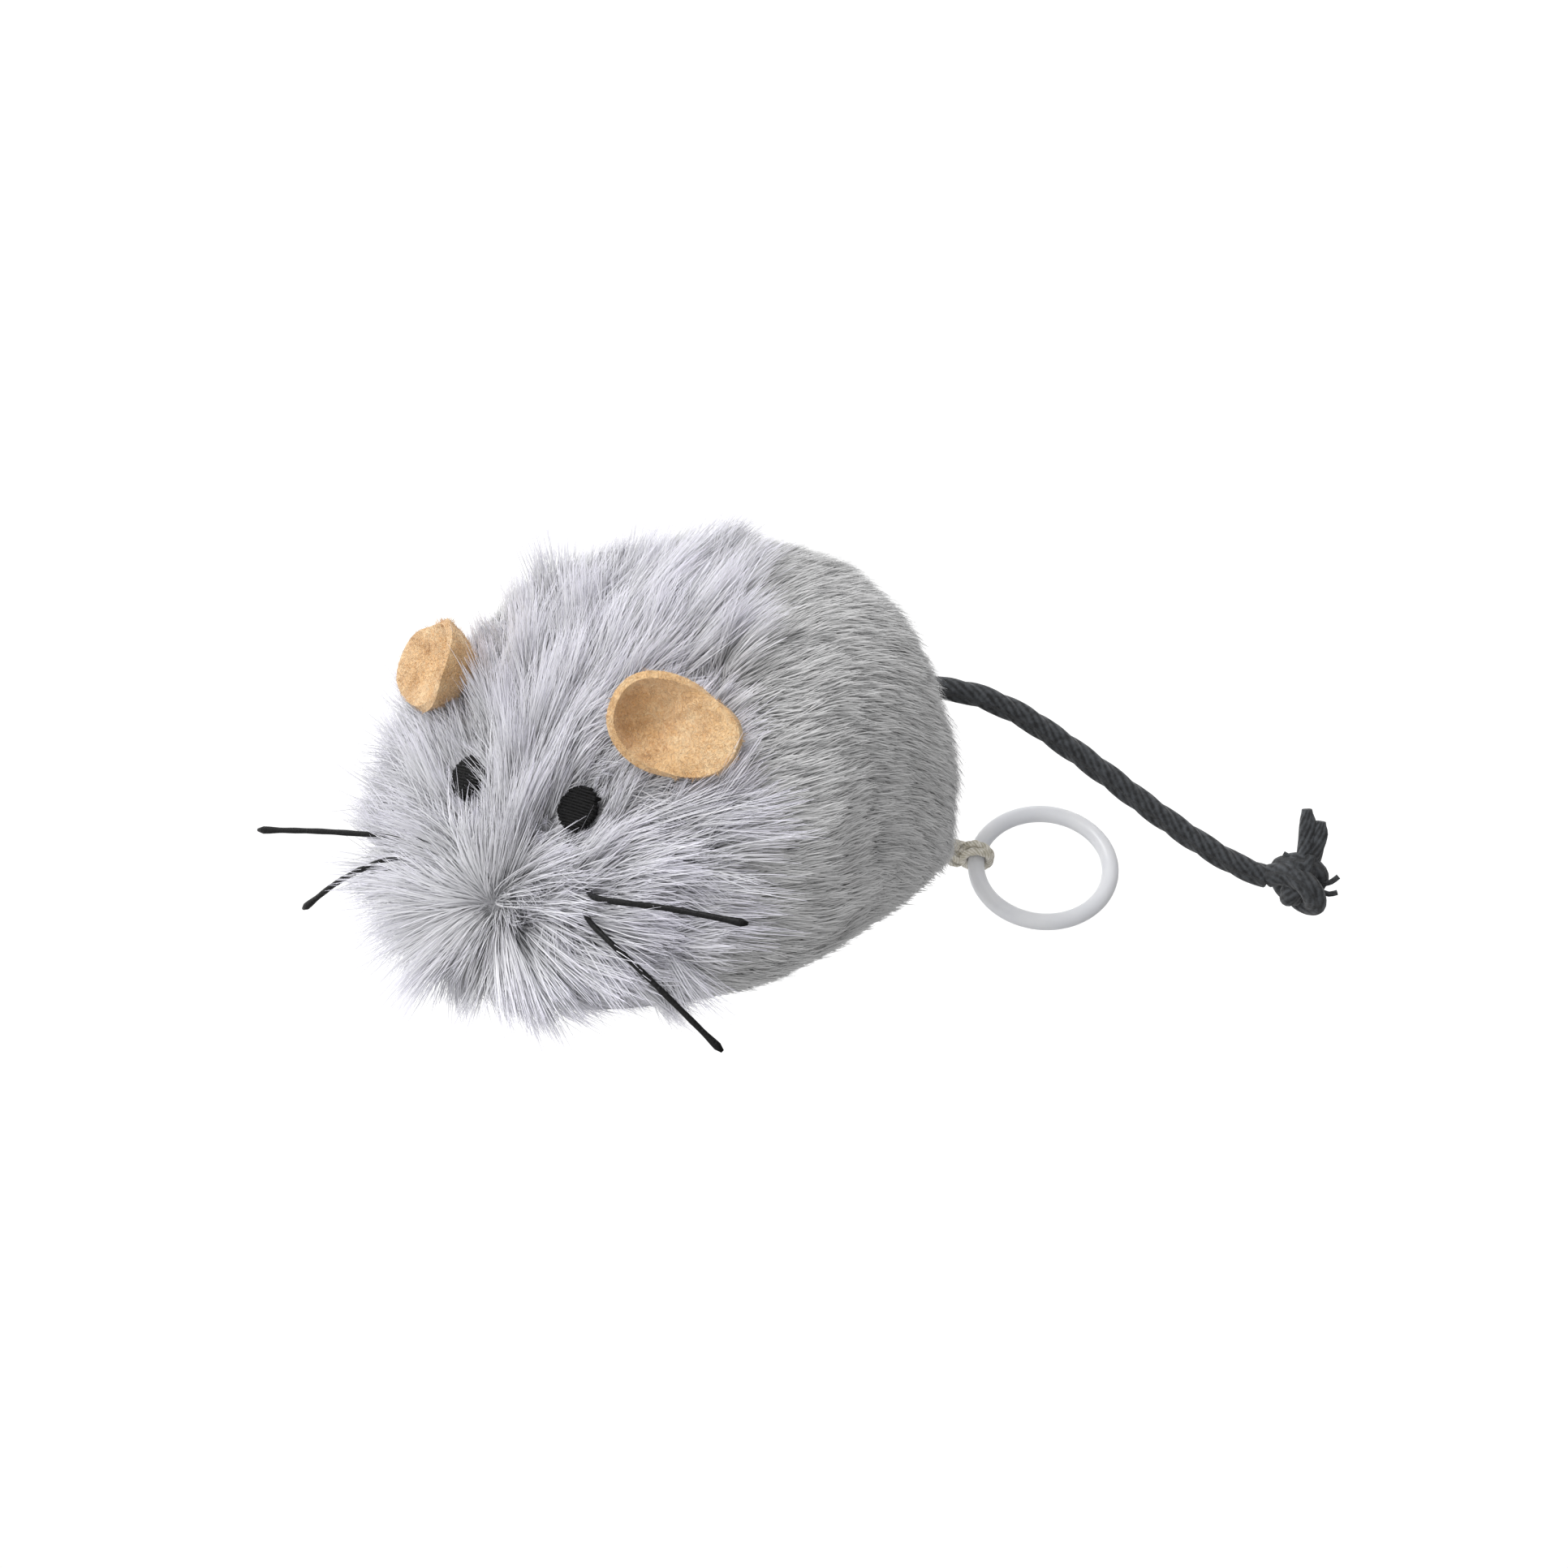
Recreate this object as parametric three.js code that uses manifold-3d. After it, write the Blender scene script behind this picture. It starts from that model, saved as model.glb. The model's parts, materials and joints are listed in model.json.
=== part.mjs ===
// A plush mouse that wriggles when its pull cord winds back in.
// Millimetres, +Z up, nose towards -Y, the mouse's left at +X, the origin under the belly's flat face.
import * as THREE from "three";
import { mergeVertices } from "three/addons/utils/BufferGeometryUtils.js";
import Module from "manifold-3d";

const wasm = await Module();
wasm.setup();

// Driving dimensions
const GAP = 0.3; // between pieces that touch
const FIT = 0.25; // radial clearance of a turning bore on its pin

const HALF_LENGTH = 40;
const HALF_WIDTHS = [[-1, 26], [-0.33, 35], [0.33, 27], [1, 19]];
const TOPS = [[-1, 16], [-0.6, 40], [-0.15, 50.5], [0.3, 52.5], [0.7, 47], [1, 26]];
const NOSE_FULLNESS = 2.8;
const RUMP_FULLNESS = 3.4;
const CROWN_FULLNESS = 2.4;
const KEEL_FULLNESS = 2.3;
const WAIST_SHARE = 0.41; // height of the widest line, as a share of the body's height
const BELLY_DEPTH = 2.5; // how far the round form reaches below the flat belly
const RUMP_LIFT = 5; // how far the underside rises at the rump
const SKIN = 6; // woven backing with its pile
const BELLY_THICKNESS = 3;
const BELLY_PANEL = { halfWidth: 13, halfLength: 22, y: -3 };

const EYE = { s: -0.73, turn: 69, sink: 2.5, radius: 2.7, height: 1 };
const EAR = {
  centre: [22, -24, 39.3], facing: [0.25, -0.9, 0.36], along: [1, 0, -0.12],
  radius: 8.1, squash: 0.64, depth: 3.8, felt: 1.2, stem: 2, stemLength: 3,
};
const WHISKER_RADIUS = 0.42;
const WHISKERS = {
  upper: [
    [39, -28.6, 20.2], [29.8, -32, 20.7], [20, -33.9, 20.2], [13.5, -30.2, 19.4], [0, -28.4, 19.6],
    [-13.5, -30.2, 19.4], [-18.5, -32.4, 19.4], [-28, -35, 18.6], [-38, -37.2, 17.2],
  ],
  lower: [
    [37.2, -30.8, 5], [28.6, -33.8, 12.2], [19.8, -34.6, 17.1], [13, -30.4, 17.3], [0, -28.6, 17.4],
    [-13, -30.4, 17.3], [-18, -33, 16.6], [-26, -33.6, 12.6], [-34.4, -33.2, 6.8],
  ],
};

const ROPE_RADIUS = 1.5;
const TAIL_ROUTE = [
  [0, 30.5, 28.4], [0, 34.5, 28.6], [0.4, 38.5, 28.8], [4.2, 41.6, 29], [8.8, 44.9, 28.3], [13.6, 48.6, 25.8],
  [17.6, 51.8, 22.5], [22.3, 55.4, 18.3], [27.2, 59.2, 13.7], [32.2, 63.2, 9.3], [36.2, 66.3, 6.4], [39.4, 68.8, 4.8],
];
const TAIL_KNOT = { centre: [42.6, 71.3, 3.9], radius: 3.7 };
const TAIL_END_ROUTE = [[43.3, 71.9, 8], [43.9, 72.2, 10.6], [43.7, 72.5, 14.4]];

const CASE = { x: 1, y: -2, halfWidth: 17.5, halfLength: 21.5, corner: 7, bottom: 6, split: 20, top: 26, wall: 1.5 };
const SCREW = { inX: 4, inY: 4.5, shank: 0.8, head: 1.9, headHeight: 1.2, length: 10, post: 2.2 };
const PIN_RADIUS = 1;
const MODULE = 0.6; // gear module
const TEETH = { drive: 36, pinion: 10, idler: 30 };
const DRUM_AXIS = [3, 5.5];
const IDLER_DIRECTION = -120.5; // degrees, from the drum's axis
const WEIGHT_DIRECTION = -23.6; // degrees, from the idler's axis
const DRUM = { bottom: 8, flange: 0.8, width: 2.8, flangeRadius: 9, barrel: 5.6, cavity: 5, layer: 7 };
const RATCHET = { teeth: 12, root: 5.6, tip: 7.4, height: 1 };
const PAWL = { pivotRadius: 9.2, length: 5, tipRadius: 8.4, nose: 0.4, thick: 0.8 };
const DRIVE_BOTTOM = 14.6;
const GEAR_WIDTH = 1.6;
const IDLER_BOTTOM = 17;
const WEIGHT = { bottom: 19.2, height: 4, radius: 7.5, hub: 2.6 };

const CORD_RADIUS = 0.5;
const CORD_HEIGHT = DRUM.bottom + DRUM.flange + DRUM.width / 2;
const CORD_X = DRUM_AXIS[0] + DRUM.layer;
const GUIDE = { bore: 0.9, radius: 2, flange: 3.2, flangeThick: 1.2, end: 36.5 };
const RING = { centre: [19, 47.5, 6.4], radius: 8.75, tube: 1.1, lean: 36.8, roll: 12, heading: 45 };

const rad = THREE.MathUtils.degToRad;
const vec = (p) => new THREE.Vector3(...p);
const polar = (r, turn, origin = [0, 0]) => [origin[0] + r * Math.cos(turn), origin[1] + r * Math.sin(turn)];

// Solids from closed geometries, and back
function solid(geometry) {
  const g = geometry.clone();
  g.deleteAttribute("normal");
  g.deleteAttribute("uv");
  const merged = mergeVertices(g, 1e-4);
  const mesh = { numProp: 3, vertProperties: merged.attributes.position.array };
  return new wasm.Manifold(new wasm.Mesh({ ...mesh, triVerts: new Uint32Array(merged.index.array) }));
}

function geometryOf(body) {
  const mesh = body.getMesh();
  const g = new THREE.BufferGeometry();
  g.setAttribute("position", new THREE.BufferAttribute(new Float32Array(mesh.vertProperties), 3));
  g.setIndex(new THREE.BufferAttribute(new Uint32Array(mesh.triVerts), 1));
  const flat = g.toNonIndexed();
  flat.computeVertexNormals();
  return flat;
}

function cut(body, ...tools) {
  return tools.reduce((left, tool) => left.subtract(tool), body);
}

// Smooth curve through [position, value] stations
function through(stations, s) {
  const last = stations.length - 1;
  let i = 0;
  while (i < last - 1 && s > stations[i + 1][0]) i++;
  const slope = (j) => {
    const before = stations[Math.max(j - 1, 0)];
    const after = stations[Math.min(j + 1, last)];
    return (after[1] - before[1]) / (after[0] - before[0]);
  };
  const [x0, y0] = stations[i];
  const [x1, y1] = stations[i + 1];
  const h = x1 - x0;
  const t = (s - x0) / h;
  const ends = y0 * (1 + 2 * t) * (1 - t) ** 2 + y1 * t * t * (3 - 2 * t);
  return ends + slope(i) * h * t * (1 - t) ** 2 - slope(i + 1) * h * t * t * (1 - t);
}

// The body's surface: s runs from nose (-1) to rump (1), turn goes round the section
function bodyPoint(s, turn, inset = 0) {
  const fullness = s < 0 ? NOSE_FULLNESS : RUMP_FULLNESS;
  const close = Math.max(1 - Math.abs(s) ** fullness, 0) ** (1 / fullness);
  const halfWidth = (through(HALF_WIDTHS, s) - inset) * close;
  const top = through(TOPS, s) - inset;
  const bottom = -BELLY_DEPTH + RUMP_LIFT * Math.max(s, 0) ** 3 + inset;
  const middle = bottom + (top - bottom) * WAIST_SHARE;
  const [c, n] = [Math.cos(turn), Math.sin(turn)];
  const power = 2 / (n > 0 ? CROWN_FULLNESS : KEEL_FULLNESS);
  const rise = n > 0 ? (top - middle) * close ** 0.7 : (middle - bottom) * close ** 0.5;
  const round = (v) => Math.sign(v) * Math.abs(v) ** power;
  return new THREE.Vector3(halfWidth * round(c), (HALF_LENGTH - inset) * s, middle + rise * round(n));
}

function bodyNormal(s, turn) {
  const step = 0.01;
  const alongBody = bodyPoint(s + step, turn).sub(bodyPoint(s - step, turn));
  const roundBody = bodyPoint(s, turn + step).sub(bodyPoint(s, turn - step));
  return alongBody.cross(roundBody).normalize();
}

function bodyForm(inset, rings, sides) {
  const points = [bodyPoint(-1, 0, inset)];
  for (let i = 1; i < rings; i++) {
    const s = Math.sin(Math.PI * (i / rings - 0.5));
    for (let j = 0; j < sides; j++) points.push(bodyPoint(s, (2 * Math.PI * j) / sides, inset));
  }
  points.push(bodyPoint(1, 0, inset));
  const rump = points.length - 1;
  const at = (ring, j) => 1 + ring * sides + (j % sides);
  const faces = [];
  for (let j = 0; j < sides; j++) {
    faces.push(0, at(0, j), at(0, j + 1));
    for (let i = 0; i < rings - 2; i++) {
      faces.push(at(i, j), at(i + 1, j), at(i + 1, j + 1));
      faces.push(at(i, j), at(i + 1, j + 1), at(i, j + 1));
    }
    faces.push(rump, at(rings - 2, j + 1), at(rings - 2, j));
  }
  const g = new THREE.BufferGeometry().setFromPoints(points);
  g.setIndex(faces);
  const form = solid(g);
  return form.volume() > 0 ? form : form.mirror([1, 0, 0]);
}

// Basic solids
function block(x0, x1, y0, y1, z0, z1) {
  return solid(new THREE.BoxGeometry(x1 - x0, y1 - y0, z1 - z0).translate((x0 + x1) / 2, (y0 + y1) / 2, (z0 + z1) / 2));
}

function rod(radius, z0, z1, [x, y], sides = 20) {
  const g = new THREE.CylinderGeometry(radius, radius, z1 - z0, sides);
  return solid(g.rotateX(Math.PI / 2).translate(x, y, (z0 + z1) / 2));
}

function rodAlongY(radius, y0, y1, x, z, sides = 16) {
  return solid(new THREE.CylinderGeometry(radius, radius, y1 - y0, sides).translate(x, (y0 + y1) / 2, z));
}

function prism(outline, z0, z1, holes = []) {
  const shape = new THREE.Shape(outline.map(([x, y]) => new THREE.Vector2(x, y)));
  for (const hole of holes) shape.holes.push(new THREE.Path(hole.map(([x, y]) => new THREE.Vector2(x, y))));
  const g = new THREE.ExtrudeGeometry(shape, { depth: z1 - z0, bevelEnabled: false });
  return solid(g.translate(0, 0, z0));
}

function circle(radius, centre = [0, 0], sides = 20) {
  return Array.from({ length: sides }, (_, i) => polar(radius, (2 * Math.PI * i) / sides, centre));
}

function turned(profile, sides = 24) {
  const points = profile.map(([r, z]) => new THREE.Vector2(r, z));
  const body = solid(new THREE.LatheGeometry([...points, points[0]], sides).rotateX(Math.PI / 2));
  return body.volume() > 0 ? body : body.mirror([0, 0, 1]);
}

function tube(route, radius, steps, sides = 8) {
  const section = new THREE.Shape(circle(radius, [0, 0], sides).map(([x, y]) => new THREE.Vector2(x, y)));
  const path = new THREE.CatmullRomCurve3(route.map(vec), false, "centripetal");
  return solid(new THREE.ExtrudeGeometry(section, { steps, bevelEnabled: false, extrudePath: path }));
}

function placed(body, position, zAxis, xHint = [1, 0, 0]) {
  const z = vec(zAxis).normalize();
  const y = z.clone().cross(vec(xHint)).normalize();
  const m = new THREE.Matrix4().makeBasis(y.clone().cross(z), y, z).setPosition(...position);
  return solid(geometryOf(body).applyMatrix4(m));
}

function roundedBlock(grow, z0, z1) {
  const { x, y, halfWidth, halfLength, corner } = CASE;
  const shape = new THREE.Shape();
  const [w, l, r] = [halfWidth + grow, halfLength + grow, corner + grow];
  shape.absarc(x + w - r, y + l - r, r, 0, Math.PI / 2);
  shape.absarc(x - w + r, y + l - r, r, Math.PI / 2, Math.PI);
  shape.absarc(x - w + r, y - l + r, r, Math.PI, 1.5 * Math.PI);
  shape.absarc(x + w - r, y - l + r, r, 1.5 * Math.PI, 2 * Math.PI);
  return solid(new THREE.ExtrudeGeometry(shape, { depth: z1 - z0, bevelEnabled: false, curveSegments: 4 }).translate(0, 0, z0));
}

// A spur gear's outline with a tooth centred on the direction "towards"
function gearOutline(teeth, towards) {
  const pitchRadius = (MODULE * teeth) / 2;
  const tip = pitchRadius + 0.45;
  const root = pitchRadius - 0.65;
  const outline = [];
  for (let i = 0; i < teeth; i++) {
    const middle = rad(towards) + (2 * Math.PI * i) / teeth;
    for (const [r, halfWidth] of [[root, -0.5], [tip, -0.16], [tip, 0.16], [root, 0.5]]) {
      outline.push(polar(r, middle + halfWidth / r));
    }
  }
  return outline;
}

const shifted = (outline, [x, y]) => outline.map(([u, v]) => [u + x, v + y]);

// Looks
const material = (color, roughness, metalness = 0, extra = {}) =>
  new THREE.MeshStandardMaterial({ color, roughness, metalness, ...extra });
const LOOKS = {
  plush: material("#b4b4b8", 0.95),
  wadding: material("#eceae4", 1),
  felt: material("#d6b287", 0.95),
  embroidery: material("#18181a", 0.7),
  waxedThread: material("#17171a", 0.45),
  rope: material("#4c4f54", 0.85),
  cord: material("#d9d2bd", 0.8),
  ring: material("#eef0f6", 0.35, 0, { transparent: true, opacity: 0.85 }),
  caseShell: material("#f0efea", 0.5),
  gear: material("#f4f1e6", 0.45),
  steel: material("#b9bbbe", 0.3, 1),
  springSteel: material("#6f7682", 0.35, 1),
  weight: material("#8d8f92", 0.5, 1),
};

const mouse = new THREE.Group();

function add(name, body, look) {
  const mesh = new THREE.Mesh(geometryOf(body), LOOKS[look]);
  mesh.name = name;
  mouse.add(mesh);
}

// Whisker threads go right through the snout
const whiskers = {};
for (const [level, route] of Object.entries(WHISKERS)) {
  whiskers[level] = tube(route, WHISKER_RADIUS, 14);
  add("whisker_thread_" + level, whiskers[level], "waxedThread");
}
const whiskerHoles = Object.values(WHISKERS).map((route) => tube(route, WHISKER_RADIUS + GAP, 14));

// Eyes
const eyeTurn = rad(EYE.turn);
const eyeCentre = bodyPoint(EYE.s, eyeTurn, EYE.sink);
const eyeFacing = bodyNormal(EYE.s, eyeTurn);
const eyeProfile = [[0, -1.5], [EYE.radius, -1.5], [EYE.radius, 0], [EYE.radius * 0.7, EYE.height * 0.7], [0, EYE.height]];
const eyeLeft = placed(turned(eyeProfile), eyeCentre.toArray(), eyeFacing.toArray());
const eyePocket = placed(rod(EYE.radius + GAP, -1.5 - GAP, 4, [0, 0]), eyeCentre.toArray(), eyeFacing.toArray());

// Ears: felt cups
const earArc = (radius, depth, steps) =>
  Array.from({ length: steps + 1 }, (_, i) => [
    radius * Math.sin(((i / steps) * Math.PI) / 2),
    -depth * Math.cos(((i / steps) * Math.PI) / 2),
  ]);
const earInner = earArc(EAR.radius - EAR.felt, EAR.depth - EAR.felt, 4).reverse();
const squash = [1, EAR.squash, 1];
const earStem = (grow) => rod(EAR.stem + grow, -EAR.depth - EAR.stemLength - grow, -EAR.depth + EAR.felt / 2, [0, 0], 12);
const earCup = turned([...earArc(EAR.radius, EAR.depth, 4), ...earInner], 20).scale(squash).add(earStem(0));
const earSolid = turned([...earArc(EAR.radius + GAP, EAR.depth + GAP, 4), [EAR.radius + GAP, 3], [0, 3]], 20).scale(squash);
const earLeft = placed(earCup, EAR.centre, EAR.facing, EAR.along);
const earPocket = placed(earSolid.add(earStem(GAP)), EAR.centre, EAR.facing, EAR.along);

const bothSides = (body) => [body, body.mirror([1, 0, 0])];
[["left", 0], ["right", 1]].forEach(([side, i]) => {
  add("eye_" + side, bothSides(eyeLeft)[i], "embroidery");
  add("ear_" + side, bothSides(earLeft)[i], "felt");
});

// Tail
const tailHole = tube(TAIL_ROUTE, ROPE_RADIUS + GAP, 16);
add("tail_rope", tube(TAIL_ROUTE, ROPE_RADIUS, 16), "rope");
const knot = solid(new THREE.SphereGeometry(TAIL_KNOT.radius, 12, 8).scale(0.9, 0.9, 1).translate(...TAIL_KNOT.centre));
const ropeTip = tube([TAIL_ROUTE.at(-2), TAIL_ROUTE.at(-1), [40.6, 69.7, 4.5]], ROPE_RADIUS + GAP, 4);
add("tail_knot", cut(knot, ropeTip, tube([[43, 71.6, 4], TAIL_END_ROUTE[0]], ROPE_RADIUS + GAP, 2)), "rope");
add("tail_end", tube(TAIL_END_ROUTE, ROPE_RADIUS, 3), "rope");

// Plush skin: two side panels and a belly panel
const outer = cut(bodyForm(0, 22, 32), block(-60, 60, -60, 60, -20, 0));
const inner = cut(bodyForm(SKIN, 14, 20), block(-60, 60, -60, 60, -20, BELLY_THICKNESS));
const bellyOutline = (grow) =>
  circle(1, [0, 0], 32).map(([x, y]) => [x * (BELLY_PANEL.halfWidth + grow), BELLY_PANEL.y + y * (BELLY_PANEL.halfLength + grow)]);
const guideHole = rodAlongY(GUIDE.radius + GAP, 15, GUIDE.end - GUIDE.flangeThick - GAP, CORD_X, CORD_HEIGHT);
const guideMouth = rodAlongY(GUIDE.flange + GAP, GUIDE.end - GUIDE.flangeThick - GAP, 60, CORD_X, CORD_HEIGHT);
const caseRoom = roundedBlock(GAP, BELLY_THICKNESS, CASE.top + GAP + SCREW.headHeight + GAP);
const skin = cut(
  outer, inner, caseRoom, prism(bellyOutline(GAP), -1, SKIN), guideHole, guideMouth, tailHole,
  ...whiskerHoles, ...bothSides(eyePocket), ...bothSides(earPocket),
);
add("plush_left", cut(skin, block(-60, GAP / 2, -60, 60, -20, 80)), "plush");
add("plush_right", cut(skin, block(-GAP / 2, 60, -60, 60, -20, 80)), "plush");
add("belly_panel", outer.intersect(prism(bellyOutline(0), -1, BELLY_THICKNESS)), "plush");

// Case: a tray and a lid on four screws
const caseCavity = (z0, z1) => roundedBlock(-CASE.wall, z0, z1);
const screwSpots = [1, -1].flatMap((sx) =>
  [1, -1].map((sy) => [
    CASE.x + sx * (CASE.halfWidth - SCREW.inX),
    CASE.y + sy * (CASE.halfLength - SCREW.inY),
  ]),
);
const posts = (z0, z1) => screwSpots.map((spot) => rod(SCREW.post, z0, z1, spot, 14)).reduce((a, b) => a.add(b));
const screwHoles = screwSpots.map((spot) => rod(SCREW.shank + GAP, CASE.top - SCREW.length - 1, CASE.top + 1, spot, 12));
const trayTop = CASE.split - GAP;
const tray = cut(roundedBlock(0, CASE.bottom, trayTop), caseCavity(CASE.bottom + CASE.wall, CASE.split + 1));
const cordHole = rodAlongY(CORD_RADIUS + 0.7, CASE.y + CASE.halfLength - 4, 30, CORD_X, CORD_HEIGHT);
add("case_tray", cut(tray.add(posts(CASE.bottom + 1, trayTop)), cordHole, ...screwHoles), "caseShell");
const lid = cut(roundedBlock(0, CASE.split, CASE.top), caseCavity(CASE.split - 1, CASE.top - CASE.wall));
add("case_lid", cut(lid.add(posts(CASE.split, CASE.top - 0.5)), ...screwHoles), "caseShell");
screwSpots.forEach((spot, i) => {
  const shank = rod(SCREW.shank, CASE.top - SCREW.length, CASE.top + GAP + 0.1, spot, 10);
  const head = rod(SCREW.head, CASE.top + GAP, CASE.top + GAP + SCREW.headHeight, spot, 16);
  const [x, y] = spot;
  const slot = [[1.2, 0.25], [0.25, 1.2]].map(([a, b]) => block(x - a, x + a, y - b, y + b, CASE.top + 1, CASE.top + 3));
  add("case_screw_" + (i + 1), cut(shank.add(head), ...slot), "steel");
});

// Wadding between the skin and the case
const waddingForm = cut(
  bodyForm(SKIN + 0.4, 14, 20), block(-60, 60, -60, 60, -20, BELLY_THICKNESS + GAP),
  caseRoom, rodAlongY(GUIDE.radius + GAP, 15, 60, CORD_X, CORD_HEIGHT),
  guideMouth, tailHole, ...whiskerHoles, ...bothSides(eyePocket), ...bothSides(earPocket),
);
const [headLine, rumpLine] = [CASE.y - CASE.halfLength - 0.8, CASE.y + CASE.halfLength + 0.8];
add("wadding_head", cut(waddingForm, block(-60, 60, headLine, 60, -20, 80)), "wadding");
add("wadding_rump", cut(waddingForm, block(-60, 60, -60, rumpLine, -20, 80)), "wadding");
const middleOnly = [block(-60, 60, -60, headLine + GAP, -20, 80), block(-60, 60, rumpLine - GAP, 60, -20, 80)];
add("wadding_middle", cut(waddingForm, ...middleOnly), "wadding");

// Gear train
const centreDistance = (a, b) => (MODULE * (a + b)) / 2;
const idlerAxis = polar(centreDistance(TEETH.drive, TEETH.pinion), rad(IDLER_DIRECTION), DRUM_AXIS);
const weightAxis = polar(centreDistance(TEETH.idler, TEETH.pinion), rad(WEIGHT_DIRECTION), idlerAxis);
const pinFloor = CASE.bottom + CASE.wall + GAP;
const pinCeiling = CASE.top - CASE.wall - GAP;
const halfPinionTooth = 180 / TEETH.pinion;
add("drum_pin", rod(PIN_RADIUS, pinFloor, pinCeiling, DRUM_AXIS), "steel");
add("idler_pin", rod(PIN_RADIUS, pinFloor, pinCeiling, idlerAxis), "steel");
add("weight_pin", rod(PIN_RADIUS, pinFloor, pinCeiling, weightAxis), "steel");
const bore = (spot, z0, z1) => rod(PIN_RADIUS + FIT, z0, z1, spot);

function gear(teeth, towards, spot, z0, z1) {
  return prism(shifted(gearOutline(teeth, towards), spot), z0, z1);
}

const driveTop = DRIVE_BOTTOM + GEAR_WIDTH;
add("drive_gear", cut(gear(TEETH.drive, IDLER_DIRECTION, DRUM_AXIS, DRIVE_BOTTOM, driveTop), bore(DRUM_AXIS, 0, 40)), "gear");
const idlerPinion = gear(TEETH.pinion, IDLER_DIRECTION + 180 - halfPinionTooth, idlerAxis, DRIVE_BOTTOM - 0.2, IDLER_BOTTOM + 0.1);
const idlerWheel = gear(TEETH.idler, WEIGHT_DIRECTION, idlerAxis, IDLER_BOTTOM, IDLER_BOTTOM + GEAR_WIDTH);
add("idler_gear", cut(idlerPinion.add(idlerWheel), bore(idlerAxis, 0, 40)), "gear");
const weightPinion = gear(
  TEETH.pinion, WEIGHT_DIRECTION + 180 - halfPinionTooth, weightAxis, IDLER_BOTTOM - 0.1, WEIGHT.bottom - GAP,
);
add("weight_pinion", cut(weightPinion, bore(weightAxis, 0, 40)), "gear");
const halfDisc = cut(
  rod(WEIGHT.radius, WEIGHT.bottom, WEIGHT.bottom + WEIGHT.height, weightAxis, 32),
  block(weightAxis[0] - 20, weightAxis[0] + 20, weightAxis[1], weightAxis[1] + 20, 0, 40),
);
const weightHub = rod(WEIGHT.hub, WEIGHT.bottom, WEIGHT.bottom + WEIGHT.height, weightAxis);
add("eccentric_weight", cut(halfDisc.add(weightHub), bore(weightAxis, 0, 40)), "weight");

// Cord drum with its ratchet, the cord's turns and the return spring inside
const barrelTop = DRUM.bottom + DRUM.flange + DRUM.width;
const ratchetBottom = barrelTop + DRUM.flange;
const pawlLift = Math.acos(
  (PAWL.pivotRadius ** 2 + PAWL.tipRadius ** 2 - PAWL.length ** 2) / (2 * PAWL.pivotRadius * PAWL.tipRadius),
);
const ratchetOutline = Array.from({ length: RATCHET.teeth }, (_, i) => {
  const face = pawlLift + rad(4.5) + (2 * Math.PI * i) / RATCHET.teeth;
  const pitch = (2 * Math.PI) / RATCHET.teeth;
  return [polar(RATCHET.root, face - rad(0.5)), polar(RATCHET.tip, face), polar(RATCHET.tip * 0.93, face + pitch * 0.3)];
}).flat();
const spool = turned([
  [DRUM.cavity, DRUM.bottom], [DRUM.flangeRadius, DRUM.bottom], [DRUM.flangeRadius, DRUM.bottom + DRUM.flange],
  [DRUM.barrel, DRUM.bottom + DRUM.flange], [DRUM.barrel, barrelTop], [DRUM.flangeRadius, barrelTop],
  [DRUM.flangeRadius, ratchetBottom], [PIN_RADIUS + FIT, ratchetBottom], [PIN_RADIUS + FIT, barrelTop], [DRUM.cavity, barrelTop],
], 32).translate([...DRUM_AXIS, 0]);
const ratchet = prism(shifted(ratchetOutline, DRUM_AXIS), ratchetBottom - 0.1, ratchetBottom + RATCHET.height);
add("cord_drum", cut(spool.add(ratchet), bore(DRUM_AXIS, 0, 40)), "gear");
const turnsOutside = DRUM.layer - 0.1;
const turnsInside = DRUM.barrel + GAP;
const [turnsFrom, turnsTo] = [DRUM.bottom + DRUM.flange + GAP, barrelTop - GAP];
const turnsMiddle = (turnsFrom + turnsTo) / 2;
add("cord_turns", turned([
  [turnsInside, turnsFrom], [turnsOutside - 0.2, turnsFrom], [turnsOutside, turnsFrom + 0.5], [turnsOutside - 0.2, turnsMiddle],
  [turnsOutside, turnsTo - 0.5], [turnsOutside - 0.2, turnsTo], [turnsInside, turnsTo],
], 28).translate([...DRUM_AXIS, 0]), "cord");
const springTurns = 3.5;
const springSteps = 42;
const springSide = (offset) =>
  Array.from({ length: springSteps + 1 }, (_, i) =>
    polar(1.6 + (i / springSteps) * 3 + offset, (i / springSteps) * springTurns * 2 * Math.PI, DRUM_AXIS));
const springOutline = [...springSide(0), ...springSide(0.25).reverse()];
add("return_spring", prism(springOutline, DRUM.bottom + 0.2, barrelTop - GAP), "springSteel");

// Pawl under the drive gear, lifted clear of the ratchet
const pawlPivot = polar(PAWL.pivotRadius, 0, DRUM_AXIS);
const pawlTip = polar(PAWL.tipRadius, pawlLift, DRUM_AXIS);
const pawlHeading = Math.atan2(pawlTip[1] - pawlPivot[1], pawlTip[0] - pawlPivot[0]);
const pawlBase = ratchetBottom + 0.2;
const pawlOutline = [];
for (let i = 0; i <= 8; i++) pawlOutline.push(polar(1.5, pawlHeading + rad(80) + (rad(200) * i) / 8, pawlPivot));
pawlOutline.push(polar(PAWL.nose, pawlHeading - rad(90), pawlTip), polar(PAWL.nose, pawlHeading, pawlTip));
pawlOutline.push(polar(PAWL.nose, pawlHeading + rad(90), pawlTip));
const pawlBody = prism(pawlOutline, pawlBase, pawlBase + PAWL.thick);
add("pawl", cut(pawlBody, rod(0.6 + FIT, 0, 40, pawlPivot, 12)), "steel");
add("pawl_pin", rod(0.6, pawlBase, DRIVE_BOTTOM - GAP, pawlPivot, 12), "steel");

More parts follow.
